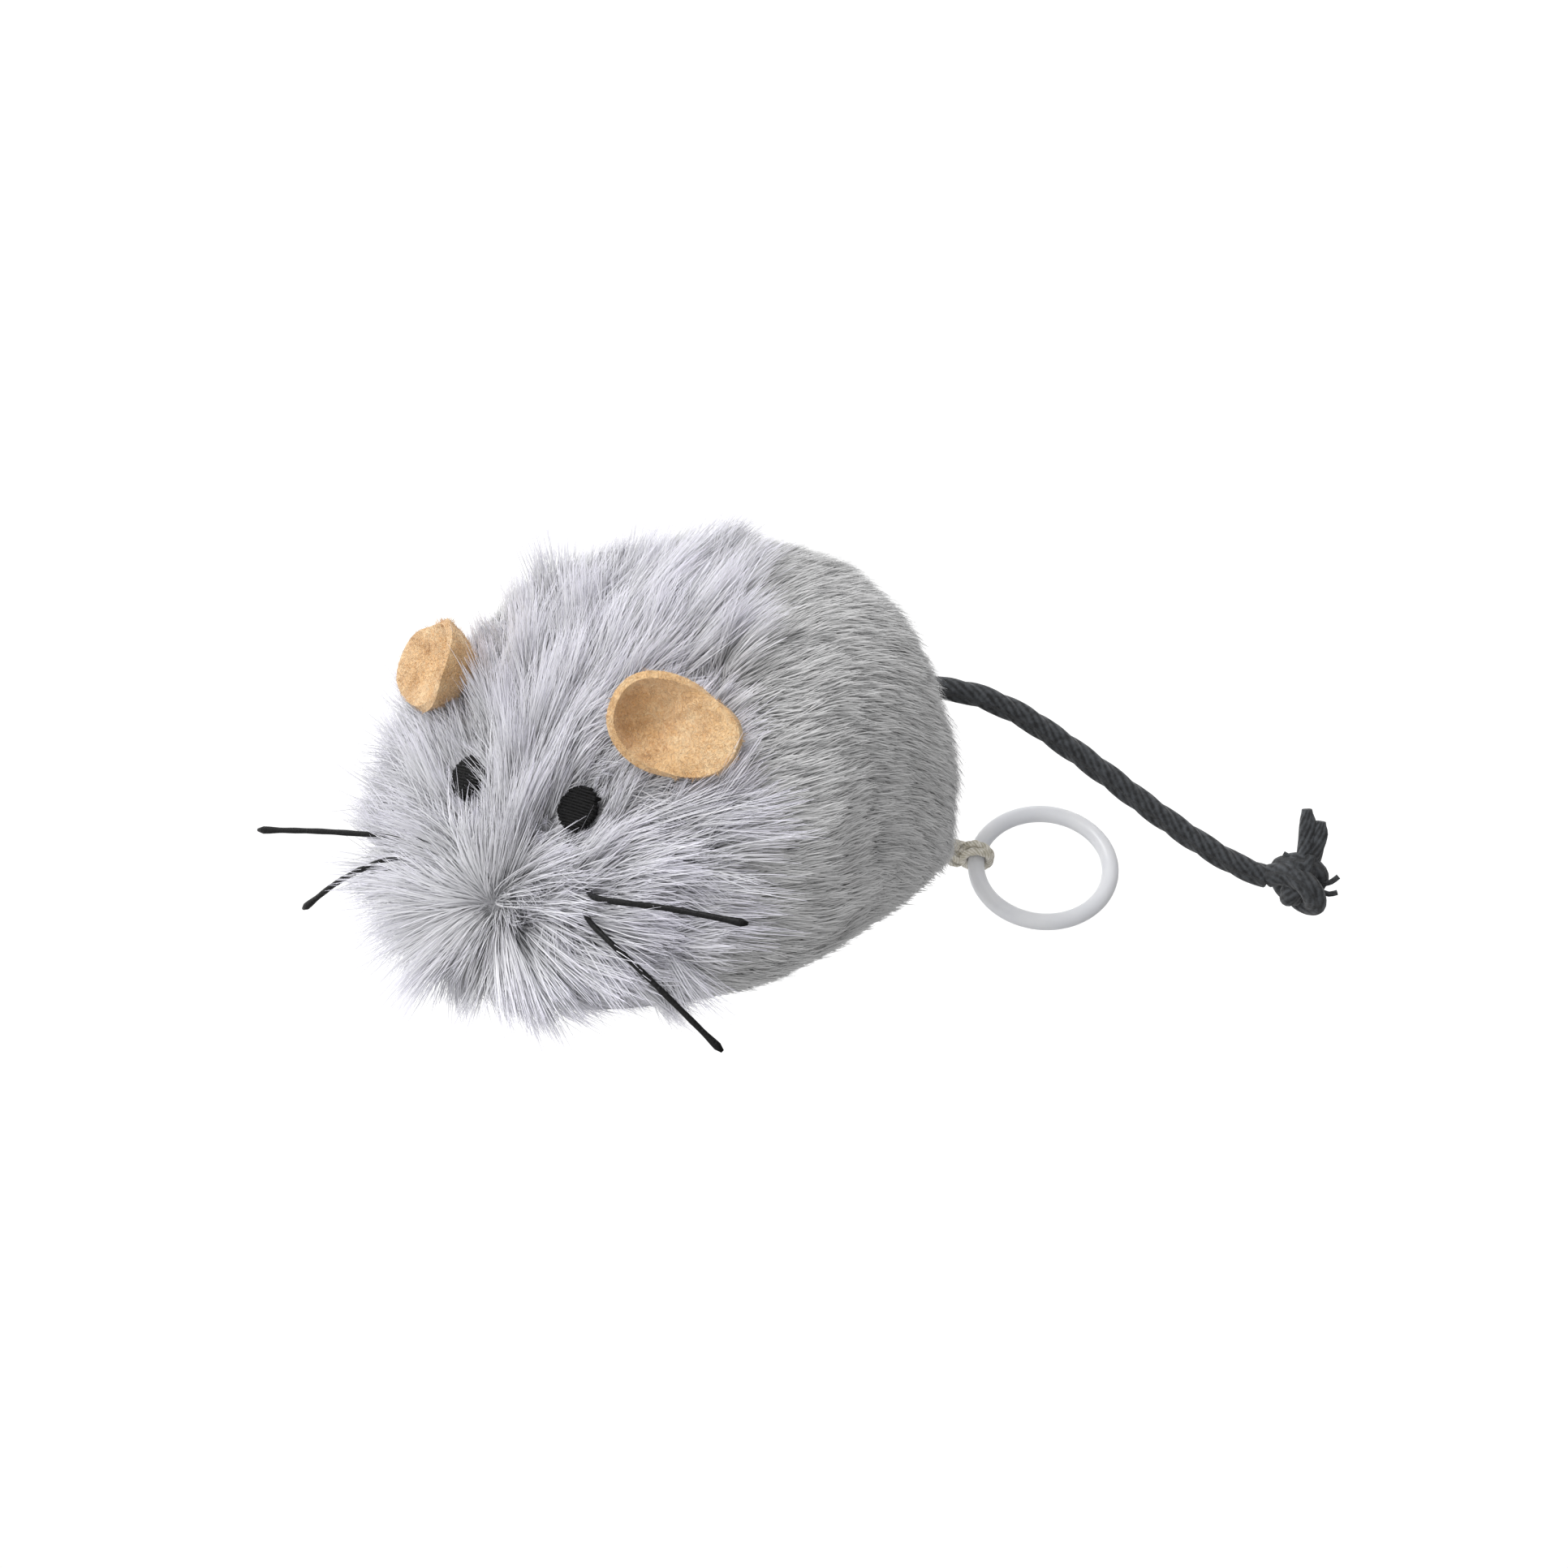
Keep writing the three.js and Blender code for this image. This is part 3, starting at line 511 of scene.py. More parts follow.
def make_tail():
    tube, fine = rope_sweep(TAIL_ROUTE)
    tail = place_cord("tail", [tube], ROPE, "tail_rope")
    kx, ky, kz = TAIL_KNOT
    # An overhand knot: two turns that pass through each other, then the end turned up
    along = unit((0.78, 0.62, 0))
    across = np.array((-along[1], along[0], 0))
    knot_route = [np.array((kx, ky, kz)) + 1.16 * (along * a + across * b + np.array((0, 0, c))) for a, b, c in (
        (-3.4, 0, 1.0), (-1.2, -1.2, 1.6), (1.0, -2.1, 0.4), (1.9, -0.6, -1.8), (0.4, 1.6, -2.2), (-1.6, 2.0, -0.4),
        (-1.8, 0.7, 1.9), (0.2, -0.6, 2.6), (2.0, 0.6, 1.2), (1.6, 2.0, -0.6), (-0.2, 1.4, -1.4), (-0.9, -0.6, -0.9),
        (0.3, -1.0, 1.2), (0.9, 0.1, 3.4))]
    knot_tube, _ = rope_sweep(knot_route, step=0.45, sides=20)
    # Loose yarn ends that stick out of the knot
    frays = [sweep(smooth_route([(kx + a, ky + b, kz + c) for a, b, c in route], 0.4), 0.38, 8) for route in (
        ((2.4, 1.6, 0.3), (3.4, 2.4, 0.7), (4.0, 3.1, 1.4)), ((2.6, 1.4, -0.6), (3.4, 2.0, -0.9), (4.1, 2.8, -0.7)),
        ((-0.4, -0.6, 3.2), (-1.0, -1.2, 4.0), (-1.6, -1.5, 4.3)))]
    knot = place_cord("tail_knot_rope", [knot_tube] + frays, ROPE, "tail_knot")
    # The rope's end is opened into two strands that lie side by side
    lobes = []
    for shift, top in ((-0.85, 14.2), (0.85, 12.6)):
        strand = [(43.2 + 0.4 * shift, 71.9 + 0.4 * shift, 6.6), (43.8 + 0.62 * shift, 72.2 + 0.55 * shift, 10),
                  (43.7 + 0.8 * shift, 72.4 + 0.7 * shift, top)]
        lobes.append(rope_sweep(strand, taper=0.4, share=0.74)[0])
    end = place_cord("tail_end_rope", lobes, ROPE, "tail_end")


make_tail()


# ---- plush body: knitted backing, then the pile on it

def full_pile(point):
    """Long on the head, as far as a line from the crest down behind the ears, and short and dense past it."""
    flank = min(1, abs(point[0]) / 22) * max(0, 28 - point[2])
    long_share = 1 - ease(point[1] + 1.05 * abs(point[0]) + 0.5 * flank, 3, 12)
    return 3.2 + 6.2 * long_share


def pile_length(point):
    """The pile's own length, down to a short nap underneath."""
    return full_pile(point) * (0.28 + 0.72 * ease(point[2], 2, 15))


def root_inset(point):
    return 0.36 * full_pile(point) + 0.3 + 1.8 * (1 - ease(point[2], 1, 12))


def skin_point(s, turn, deeper=0.0):
    """A point on the backing, below the outer form by the height at which the pile stands."""
    surface = body_point(s, turn)
    inner = body_point(s, turn, root_inset(surface) + deeper)
    inner[2] = max(inner[2], 0.7 + deeper)
    return inner


def skin_grid(s_values, turns, deeper=0.0):
    return np.array([[skin_point(s, t, deeper) for t in turns] for s in s_values])


def half_backing(name, node, sign):
    """One side panel of the cover, closed at nose and rump, given its thickness by a Solidify modifier."""
    s_values = np.sin(np.linspace(-0.5, 0.5, 47)[1:-1] * math.pi)
    turns = np.linspace(-0.5, 0.5, 41) * math.pi
    grid = skin_grid(s_values, turns, 0.15)
    grid[:, :, 0] = sign * np.maximum(grid[:, :, 0], 0.05)
    rows, columns = grid.shape[:2]
    points = list(grid.reshape(-1, 3))
    nose, rump = len(points), len(points) + 1
    points += [grid[0].mean(0) * (0, 1, 1) - (0, 0.3, 0), grid[-1].mean(0) * (0, 1, 1) + (0, 0.3, 0)]
    faces = []
    for j in range(columns - 1):
        faces.append((nose, j + 1, j))
        faces.append((rump, (rows - 1) * columns + j, (rows - 1) * columns + j + 1))
        for i in range(rows - 1):
            a, b = i * columns + j, (i + 1) * columns + j
            faces.append((a, a + 1, b + 1, b))
    if sign < 0:
        faces = [tuple(reversed(face)) for face in faces]
    piece = mesh_object(name, points, faces)
    wall = piece.modifiers.new("wall", "SOLIDIFY")
    wall.thickness = 1.2 * MM
    wall.offset = 1 if face_points_in(piece) else -1
    # The backing's darker grey is painted shade between the fibres.
    piece.data.materials.append(BACKING_AND_GAP_SHADE)
    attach(piece, "root")
    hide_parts(node)
    return piece


def face_points_in(piece):
    centre = Vector((0, 0, 0.02))
    polygons = piece.data.polygons
    return sum((p.center - centre).dot(p.normal) * p.area for p in polygons) < 0


def belly_patch():
    """The flat belly panel: an oval of short-napped cloth with a turned edge."""
    rings = [(0.0, 0.25), (0.5, 0.22), (0.85, 0.2), (0.96, 0.3), (1.0, 0.7), (0.95, 1.1), (0.5, 1.15), (0.0, 1.15)]
    sides = 64
    points = [(0, -3, 0.25)]
    for share, height in rings[1:-1]:
        for j in range(sides):
            angle = 2 * math.pi * j / sides
            points.append((13 * share * math.cos(angle), -3 + 22 * share * math.sin(angle), height))
    points.append((0, -3, 1.15))
    last = len(points) - 1
    faces = []
    for j in range(sides):
        n = (j + 1) % sides
        faces.append((0, 1 + n, 1 + j))
        faces.append((last, last - sides + j, last - sides + n))
        for i in range(len(rings) - 3):
            a, b = 1 + i * sides, 1 + (i + 1) * sides
            faces.append((a + j, a + n, b + n, b + j))
    piece = mesh_object("belly_cloth", points, faces)
    # The same darker backing grey, painted shade between the fibres of the short nap.
    piece.data.materials.append(BACKING_AND_GAP_SHADE)
    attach(piece, "root")
    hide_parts("belly_panel")
    return piece


def pile_tree():
    """Geometry nodes: scatter roots over the skin, put a ribbon on each and bend it along the lay of the pile."""
    tree = bpy.data.node_groups.new("pile strands", "GeometryNodeTree")
    named = {}
    sizes = ("Strands per square metre", "Strand width", "Lift", "Gather", "Stray", "Sway", "Lean", "Tufts per metre",
             "Clear of ears")
    for label, kind in [("Geometry", "Geometry")] + [(size, "Float") for size in sizes] + [
            ("Seed", "Int"), ("Finish", "Material")]:
        socket = tree.interface.new_socket(label, in_out="INPUT", socket_type="NodeSocket" + kind)
        named[label] = socket.identifier
    tree.interface.new_socket("Geometry", in_out="OUTPUT", socket_type="NodeSocketGeometry")
    given = tree.nodes.new("NodeGroupInput")
    result = tree.nodes.new("NodeGroupOutput")

    def named_value(name, kind="FLOAT"):
        return out(add(tree, "GeometryNodeInputNamedAttribute", {"Name": name}, data_type=kind))

    def store(geometry, name, value, kind="FLOAT"):
        node = add(tree, "GeometryNodeStoreNamedAttribute", {}, data_type=kind, domain="POINT")
        sockets = [s for s in node.inputs if s.enabled]
        tree.links.new(geometry, sockets[0])
        next(s for s in sockets if s.name == "Name").default_value = name
        tree.links.new(value, next(s for s in sockets if s.name == "Value"))
        return out(node)

    def vectors(operation, a, b):
        return out(add(tree, "ShaderNodeVectorMath", {0: a, 1: b}, operation=operation))

    def scaled(vector, factor):
        return out(add(tree, "ShaderNodeVectorMath", {"Vector": vector, "Scale": factor}, operation="SCALE"))

    def maths(operation, a, b, c=0.0):
        inputs = {0: a, 1: b, 2: c} if operation == "MULTIPLY_ADD" else {0: a, 1: b}
        return out(add(tree, "ShaderNodeMath", inputs, operation=operation))

    # Roots
    roots = add(tree, "GeometryNodeDistributePointsOnFaces", {
        "Mesh": given.outputs["Geometry"], "Density": given.outputs["Strands per square metre"],
        "Seed": given.outputs["Seed"]}, distribute_method="RANDOM")
    position = out(add(tree, "GeometryNodeInputPosition"))
    toss = out(add(tree, "FunctionNodeRandomValue", {"Min": (-1, -1, -1), "Max": (1, 1, 1),
                                                      "Seed": given.outputs["Seed"]}, data_type="FLOAT_VECTOR"))
    shade = out(add(tree, "FunctionNodeRandomValue", {"Seed": maths("ADD", given.outputs["Seed"], 7)},
                    data_type="FLOAT"))
    cells = add(tree, "ShaderNodeTexVoronoi", {"Vector": position, "Scale": given.outputs["Tufts per metre"]},
                voronoi_dimensions="3D", feature="F1")
    tint = out(add(tree, "ShaderNodeSeparateXYZ", {0: cells.outputs["Color"]}), "X")
    points = roots.outputs["Points"]
    points = store(points, "root", position, "FLOAT_VECTOR")
    points = store(points, "up", roots.outputs["Normal"], "FLOAT_VECTOR")
    points = store(points, "toss", toss, "FLOAT_VECTOR")
    points = store(points, "shade", shade)
    points = store(points, "tuft", tint)
    points = store(points, "strand", out(add(tree, "GeometryNodeInputIndex")), "INT")
    points = store(points, "gather", vectors("SUBTRACT", cells.outputs["Position"], position), "FLOAT_VECTOR")
    points = store(points, "lean", vectors("SUBTRACT", cells.outputs["Color"], (0.5, 0.5, 0.5)), "FLOAT_VECTOR")
    wind = add(tree, "ShaderNodeTexNoise", {"Vector": position, "Scale": 210.0, "Detail": 3.0})
    points = store(points, "sway", vectors("SUBTRACT", wind.outputs["Color"], (0.5, 0.5, 0.5)), "FLOAT_VECTOR")

    # One ribbon, with each point's place along and across it
    ribbon = add(tree, "GeometryNodeMeshGrid", {"Size X": 1.0, "Size Y": 1.0, "Vertices X": 2, "Vertices Y": 5})
    cross_along = add(tree, "ShaderNodeSeparateXYZ", {0: position})
    strand = store(out(ribbon, "Mesh"), "across", out(cross_along, "X"))
    strand = store(strand, "along", maths("ADD", out(cross_along, "Y"), 0.5))
    placed = add(tree, "GeometryNodeInstanceOnPoints", {"Points": points, "Instance": strand})
    realized = out(add(tree, "GeometryNodeRealizeInstances", {"Geometry": out(placed)}))

    # Bend every ribbon
    along, across = named_value("along"), named_value("across")
    flow, up = named_value("flow", "FLOAT_VECTOR"), named_value("up", "FLOAT_VECTOR")
    tossed = named_value("toss", "FLOAT_VECTOR")
    uneven = maths("MULTIPLY_ADD", named_value("shade"), 0.5, 0.68)
    tufted = maths("MULTIPLY_ADD", named_value("tuft"), 0.3, 0.85)
    length = maths("MULTIPLY", named_value("pile"), maths("MULTIPLY", uneven, tufted))
    square = maths("MULTIPLY", along, along)
    reach = maths("MULTIPLY", length, maths("MULTIPLY_ADD", square, 0.4, maths("MULTIPLY", along, 0.6)))
    arch = maths("SUBTRACT", along, maths("MULTIPLY", square, 0.42))
    stand = maths("MULTIPLY", maths("MULTIPLY", along, 0.7), named_value("stand"))
    rise = maths("MULTIPLY", length, maths("MULTIPLY_ADD", arch, given.outputs["Lift"], stand))
    long_haired = maths("MULTIPLY_ADD", named_value("frosting"), 0.8, 0.2)
    pull = maths("MULTIPLY", maths("MULTIPLY", square, given.outputs["Gather"]), long_haired)
    drift = maths("MULTIPLY", maths("MULTIPLY", length, along), given.outputs["Stray"])
    place = vectors("ADD", named_value("root", "FLOAT_VECTOR"), scaled(flow, reach))
    place = vectors("ADD", place, scaled(up, rise))
    place = vectors("ADD", place, scaled(named_value("gather", "FLOAT_VECTOR"), pull))
    place = vectors("ADD", place, scaled(tossed, drift))
    waved = maths("MULTIPLY", maths("MULTIPLY", length, along), given.outputs["Sway"])
    place = vectors("ADD", place, scaled(named_value("sway", "FLOAT_VECTOR"), waved))
    leaning = maths("MULTIPLY", given.outputs["Lean"], long_haired)
    leant = maths("MULTIPLY", maths("MULTIPLY", length, square), leaning)
    place = vectors("ADD", place, scaled(named_value("lean", "FLOAT_VECTOR"), leant))
    flat = vectors("ADD", vectors("CROSS_PRODUCT", flow, up), scaled(tossed, 0.45))
    flat = out(add(tree, "ShaderNodeVectorMath", {0: flat}, operation="NORMALIZE"))
    narrow = maths("SUBTRACT", 1.0, maths("MULTIPLY", square, 0.8))
    width = maths("MULTIPLY", maths("MULTIPLY", across, narrow), given.outputs["Strand width"])
    place = vectors("ADD", place, scaled(flat, width))
    parts = add(tree, "ShaderNodeSeparateXYZ", {0: place})
    floored = add(tree, "ShaderNodeCombineXYZ", {0: out(parts, "X"), 1: out(parts, "Y"),
                                                 2: maths("MAXIMUM", out(parts, "Z"), 0.1 * MM)})
    bent = add(tree, "GeometryNodeSetPosition", {"Geometry": realized, "Position": out(floored)})

    # Strands that would cross an ear's cup are left out
    parts = add(tree, "ShaderNodeSeparateXYZ", {0: position})
    aside = out(add(tree, "ShaderNodeMath", {0: out(parts, "X")}, operation="ABSOLUTE"))
    mirrored = add(tree, "ShaderNodeCombineXYZ", {0: aside, 1: out(parts, "Y"), 2: out(parts, "Z")})
    from_ear = vectors("SUBTRACT", out(mirrored), tuple(EAR_CENTRE * MM))
    spans = (EAR_RADIUS * MM, EAR_RADIUS * EAR_SQUASH * MM, MM)
    across_ear, up_ear, before_ear = (
        out(add(tree, "ShaderNodeVectorMath", {0: from_ear, 1: tuple(axis / span)}, operation="DOT_PRODUCT"), "Value")
        for axis, span in zip(frame_of(EAR_FACING, EAR_ALONG).T, spans))
    round_ear = maths("MULTIPLY_ADD", across_ear, across_ear, maths("MULTIPLY", up_ear, up_ear))
    bowl = maths("MULTIPLY_ADD", maths("SUBTRACT", 1.0, round_ear), EAR_DEPTH, before_ear)
    within = maths("MULTIPLY", maths("LESS_THAN", round_ear, 1.05), maths("GREATER_THAN", bowl, -1.0))
    within = maths("MULTIPLY", maths("LESS_THAN", before_ear, 5.0), within)
    within = maths("MULTIPLY", given.outputs["Clear of ears"], within)
    crossing = add(tree, "GeometryNodeAccumulateField", {"Value": within, "Group ID": named_value("strand", "INT")},
                   data_type="FLOAT", domain="POINT")
    kept = add(tree, "GeometryNodeDeleteGeometry", {
        "Geometry": out(bent), "Selection": maths("GREATER_THAN", out(crossing, "Total"), 0.5)},
        domain="POINT", mode="ALL")
    finished = add(tree, "GeometryNodeSetMaterial", {"Geometry": out(kept), "Material": given.outputs["Finish"]})
    tree.links.new(out(finished), result.inputs["Geometry"])
    return tree, named


PILE_TREE, PILE_SOCKETS = pile_tree()


def grow(name, skin, slot_name, **values):
    """Runs the pile tree on a skin mesh, with values for its named inputs, and keeps the strands as a plain mesh."""
    modifier = skin.modifiers.new("pile", "NODES")
    modifier.node_group = PILE_TREE
    for label, value in values.items():
        modifier[PILE_SOCKETS[label.replace("_", " ")]] = value
    skin.update_tag()
    ready = skin.evaluated_get(bpy.context.evaluated_depsgraph_get())
    mesh = bpy.data.meshes.new_from_object(ready)
    for spare in ("root", "up", "toss", "gather", "sway", "lean", "flow", "pile", "stand", "across",
                  "strand"):
        if spare in mesh.attributes:
            mesh.attributes.remove(mesh.attributes[spare])
    piece = bpy.data.objects.new(name, mesh)
    bpy.context.scene.collection.objects.link(piece)
    bpy.data.objects.remove(skin)
    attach(piece, "root")
    return piece


EYE_POINT = body_point(EYE_S, math.radians(EYE_TURN), EYE_SINK)
EYE_TO_WHORL = unit(WHORL - EYE_POINT)


def lay_of_pile(point, normal):
    """The direction in which the pile lies: out from the snout's whorl, back along the sides and down the rump."""
    from_whorl = unit(point - WHORL)
    rump = ease(point[1], 22, 37)
    backward = unit((0.12 * point[0] / 20, 1 - 0.98 * rump, -0.55 - 0.6 * rump))
    share = ease(point[1], -12, 22)
    direction = from_whorl * (1 - share) + backward * share
    direction = direction - normal * direction.dot(normal)
    return unit(direction)


def crosses_ear(root, flow, length, ear_axes):
    """Whether a strand from root would pass through the ear's cup."""
    for along in (0.4, 0.6, 0.8, 1.0):
        place = root + flow * (1.25 * length * along) + unit(root - (0, 0, 20)) * (0.3 * length * along)
        across, up, before = ear_axes.T @ (place - EAR_CENTRE)
        if math.hypot(across / EAR_RADIUS, up / EAR_RADIUS / EAR_SQUASH) < 1.04 and -EAR_DEPTH < before < 2.5:
            return True
    return False


def pile_skin(name, s_values, turns):
    """A strip of skin that carries the pile's length and lay at each point."""
    rows, columns = len(s_values), len(turns)
    grid = skin_grid(s_values, turns)
    normals = np.cross(np.gradient(grid, axis=0), np.gradient(grid, axis=1))
    normals = unit(normals)
    outward = np.sign((normals * (grid - (0, 0, 20))).sum(-1, keepdims=True))
    normals = normals * outward
    flows, piles, frost, stands = [], [], [], []
    ear_axes = frame_of(EAR_FACING, EAR_ALONG)
    for point, normal in zip(grid.reshape(-1, 3), normals.reshape(-1, 3)):
        mirrored = point * (np.sign(point[0]) or 1, 1, 1)
        below_eye = np.clip((mirrored - EYE_POINT).dot(EYE_TO_WHORL), 0, 7)
        to_eye = np.linalg.norm(mirrored - EYE_POINT - below_eye * EYE_TO_WHORL)
        across_ear, up_ear, before_ear = ear_axes.T @ (mirrored - EAR_CENTRE)
        to_ear = math.hypot(across_ear / EAR_RADIUS, up_ear / EAR_RADIUS / EAR_SQUASH)
        from_whorl = ease(np.linalg.norm(point - WHORL), 0, 7)
        lay = lay_of_pile(point, normal)
        aside = unit(point - EAR_CENTRE * (np.sign(point[0]) or 1, 1, 1))
        aside = aside - normal * aside.dot(normal)
        lay = unit(lay + 0.9 * (1 - ease(to_ear, 1.0, 2.2)) * ease(before_ear, -2, 1) * aside)
        flows.append(lay * (0.15 + 0.85 * from_whorl))
        stands.append(1 - from_whorl)
        length = pile_length(point)
        frost.append(float(np.clip((full_pile(point) - 3.3) / 5.6, 0, 1)))
        length *= 0.12 + 0.88 * (ease(to_eye, 2.9, 5.8) if point[0] > 0 else ease(to_eye, 2.2, 5.0))
        under_ear = (1 - ease(to_ear, 1.0, 1.35)) * (1 - ease(before_ear, 3, 6))
        length *= 1 - 0.5 * under_ear
        drop = max(0.01, -flows[-1][2]) * length
        length *= min(1, max(0.25, (point[2] - 0.5) / drop))
        while length > 1 and crosses_ear(mirrored, flows[-1] * (np.sign(point[0]) or 1, 1, 1), length, ear_axes):
            length *= 0.75
        piles.append(length * MM)
    faces = []
    for i in range(rows - 1):
        for j in range(columns - 1):
            a, b = i * columns + j, (i + 1) * columns + j
            faces.append((a, a + 1, b + 1, b))
    skin = mesh_object(name, grid.reshape(-1, 3), faces,
                       attributes={"flow": flows, "pile": piles, "frosting": frost, "stand": stands})
    if face_points_in(skin):
        skin.data.flip_normals()
    return skin


# Real fibres are near 0.03 mm thick. A ribbon stands for several of them, as wide as it needs to be to show.
RIBBON_WIDTH = 0.17 * MM
LONG_PILE = {"crowding": 1.35, "Gather": 0.75, "Stray": 0.24, "Sway": 1.1, "Lean": 0.8, "Tufts_per_metre": 400.0}
SHORT_PILE = {"crowding": 1.2, "Gather": 0.8, "Stray": 0.22, "Sway": 0.6, "Lean": 0.3, "Tufts_per_metre": 800.0}
# Each band of the cover runs from one s to another, with the lift and the kind of its pile
PILE_BANDS = {
    "muzzle": (-1, -0.62, 0.42, LONG_PILE), "brow": (-0.62, -0.28, 0.34, LONG_PILE),
    "crest": (-0.28, 0.06, 0.34, LONG_PILE), "back": (0.06, 0.42, 0.7, SHORT_PILE),
    "rump": (0.42, 1, 0.7, SHORT_PILE),
}
SIDE_TURNS = {"left": (-90, 90), "right": (90, 270)}
END_S = 0.9995  # the skin stops just short of its two poles


def make_pile():
    density = 10.0e6
    seed = 11
    for band, (s0, s1, lift, kind) in PILE_BANDS.items():
        angle0, angle1 = math.asin(max(s0, -END_S)), math.asin(min(s1, END_S))
        s_values = np.sin(np.linspace(angle0, angle1, 22))
        values = {key: value for key, value in kind.items() if key != "crowding"}
        for side, (t0, t1) in SIDE_TURNS.items():
            skin = pile_skin("skin", s_values, np.radians(np.linspace(t0, t1, 61)))
            grow(f"pile_{band}_{side}", skin, "plush", Finish=PILE, Clear_of_ears=1.0, Seed=seed, Lift=lift,
                 Strands_per_square_metre=density * kind["crowding"], Strand_width=RIBBON_WIDTH, **values)
            seed += 1


half_backing("backing_left", "plush_left", 1)
half_backing("backing_right", "plush_right", -1)
belly_patch()
make_pile()


# ---- face

def surface_normal(s, turn):
    step = 0.01
    lengthwise = body_point(s + step, turn) - body_point(s - step, turn)
    around = body_point(s, turn + step) - body_point(s, turn - step)
    return unit(np.cross(lengthwise, around))


def make_eye(side, sign):
    """A satin-stitched dot: threads side by side, packed and a little ragged at their ends."""
    rng = random.Random(40 + (sign > 0))
    turn = math.radians(EYE_TURN)
    axes = frame_of(surface_normal(EYE_S, turn))
    parts = []
    rows = 15
    for row in range(rows):
        v = -1 + 2 * (row + 0.5) / rows
        half = math.sqrt(max(1 - v * v, 0.03)) * (1 + rng.uniform(-0.04, 0.09))
        skew = rng.uniform(-0.25, 0.25)
        line = []
        for u in np.linspace(-1, 1, 13):
            dome = 0.85 * math.sqrt(max(1 - 0.9 * u * u, 0)) * math.sqrt(max(1 - 0.75 * v * v, 0))
            local = np.array((u * half * EYE_RADIUS, v * EYE_RADIUS + skew * 0.1 * u, dome - 0.45))
            line.append(EYE_POINT + axes @ local)
        parts.append(sweep(line, 0.235, 8))
    under = []
    for k in range(9):
        angle = 2 * math.pi * k / 9
        reach = EYE_RADIUS * (0.95 + rng.uniform(0, 0.18))
        a = EYE_POINT + axes @ np.array((math.cos(angle) * reach, math.sin(angle) * reach, -0.5))
        b = EYE_POINT + axes @ np.array((-math.cos(angle) * reach * 0.2, -math.sin(angle) * reach * 0.2, 0.1))
        under.append(sweep(np.linspace(a, b, 5), 0.2, 6))
    points, faces, where = joined(parts + under)
    points[:, 0] *= sign
    if sign < 0:
        faces = [tuple(reversed(face)) for face in faces]
    eye = mesh_object("embroidered_eye_" + side, points, faces, attributes={"where": where})
    eye.data.materials.append(EYE_THREAD)
    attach(eye, "root")
    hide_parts("eye_" + side)


EAR_SHIFT = 0.42  # how far the cup's deepest place lies towards the inner rim, as a share of the radius
EAR_ROUNDNESS = 0.88  # under 1 the oval fills out towards a rounded oblong


def fuller(wave):
    return math.copysign(abs(wave) ** EAR_ROUNDNESS, wave)


def ear_surface(u, v):
    """u runs from the cup's deepest place (0) to its rim (1), v round it. The inner rim curls in."""
    rim = 1 + 0.02 * math.sin(3 * v + 0.6)
    x = EAR_RADIUS * (u * rim * fuller(math.cos(v)) - EAR_SHIFT * (1 - u))
    y = EAR_RADIUS * EAR_SQUASH * u * rim * fuller(math.sin(v))
    inner = max(0.0, 0.25 - math.cos(v)) / 1.25
    height = EAR_DEPTH * (u ** (1.2 + 2.2 * inner) - 1) + 0.9 * inner * u ** 6 - 1.7 * (1 - inner) * u ** 3
    x += 0.7 * inner * u ** 6
    return np.array((x, y, height + 0.1 * math.sin(5 * v + 3 * u)))


def make_ear(side, sign):
    axes = frame_of(EAR_FACING, EAR_ALONG)
    rings, sides = 16, 72
    points = [EAR_CENTRE + axes @ ear_surface(0, 0)]
    for i in range(1, rings + 1):
        for j in range(sides):
            points.append(EAR_CENTRE + axes @ ear_surface(i / rings, 2 * math.pi * j / sides))
    points = np.array(points)
    points[:, 0] *= sign
    faces = []
    for j in range(sides):
        n = (j + 1) % sides
        faces.append((0, 1 + j, 1 + n))
        for i in range(rings - 1):
            a, b = 1 + i * sides, 1 + (i + 1) * sides
            faces.append((a + j, b + j, b + n, a + n))
    if sign < 0:
        faces = [tuple(reversed(face)) for face in faces]
    ear = mesh_object("felt_ear_" + side, points, faces)
    wall = ear.modifiers.new("wall", "SOLIDIFY")
    wall.thickness = FELT * MM
    wall.offset = -1
    edge = ear.modifiers.new("edge", "BEVEL")
    edge.width = 0.35 * MM
    edge.segments = 3
    edge.limit_method = "ANGLE"
    ear.data.materials.append(FELT_TAN)
    ready = ear.evaluated_get(bpy.context.evaluated_depsgraph_get())
    solid = bpy.data.meshes.new_from_object(ready)
    # The gathered root that is sewn into the cover
    bottom = EAR_CENTRE + axes @ (ear_surface(0, 0) + (EAR_SHIFT * EAR_RADIUS, 0, 0.3))
    route = [bottom - axes[:, 2] * depth for depth in np.linspace(0, 5.5, 8)]
    points, faces, _ = sweep(route, 1.9, 14)
    points[:, 0] *= sign
    root = mesh_object("ear_root_" + side, points, [tuple(reversed(f)) for f in faces] if sign < 0 else faces)
    root.data.materials.append(FELT_TAN)
    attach(root, "root")
    # Loose fibres that stand off the felt
    fuzz_skin = bpy.data.objects.new("skin", solid.copy())
    bpy.context.scene.collection.objects.link(fuzz_skin)
    count = len(fuzz_skin.data.vertices)
    lay = unit(np.random.default_rng(5).normal(size=(count, 3)).astype(np.float32)).astype(np.float32)
    fields = fuzz_skin.data.attributes
    fields.new("flow", "FLOAT_VECTOR", "POINT").data.foreach_set("vector", lay.ravel())
    fields.new("pile", "FLOAT", "POINT").data.foreach_set("value", np.full(count, 0.55 * MM, np.float32))
    fields.new("stand", "FLOAT", "POINT")
    fuzz = grow("felt_fuzz_" + side, fuzz_skin, "felt", Finish=FELT_TAN, Seed=70 + (sign > 0),
                Strands_per_square_metre=16.0e6, Strand_width=0.05 * MM, Lift=0.45, Gather=0.2, Stray=0.3,
                Sway=0.2, Lean=0.0, Tufts_per_metre=900.0)
    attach(ear, "root")
    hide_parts("ear_" + side)


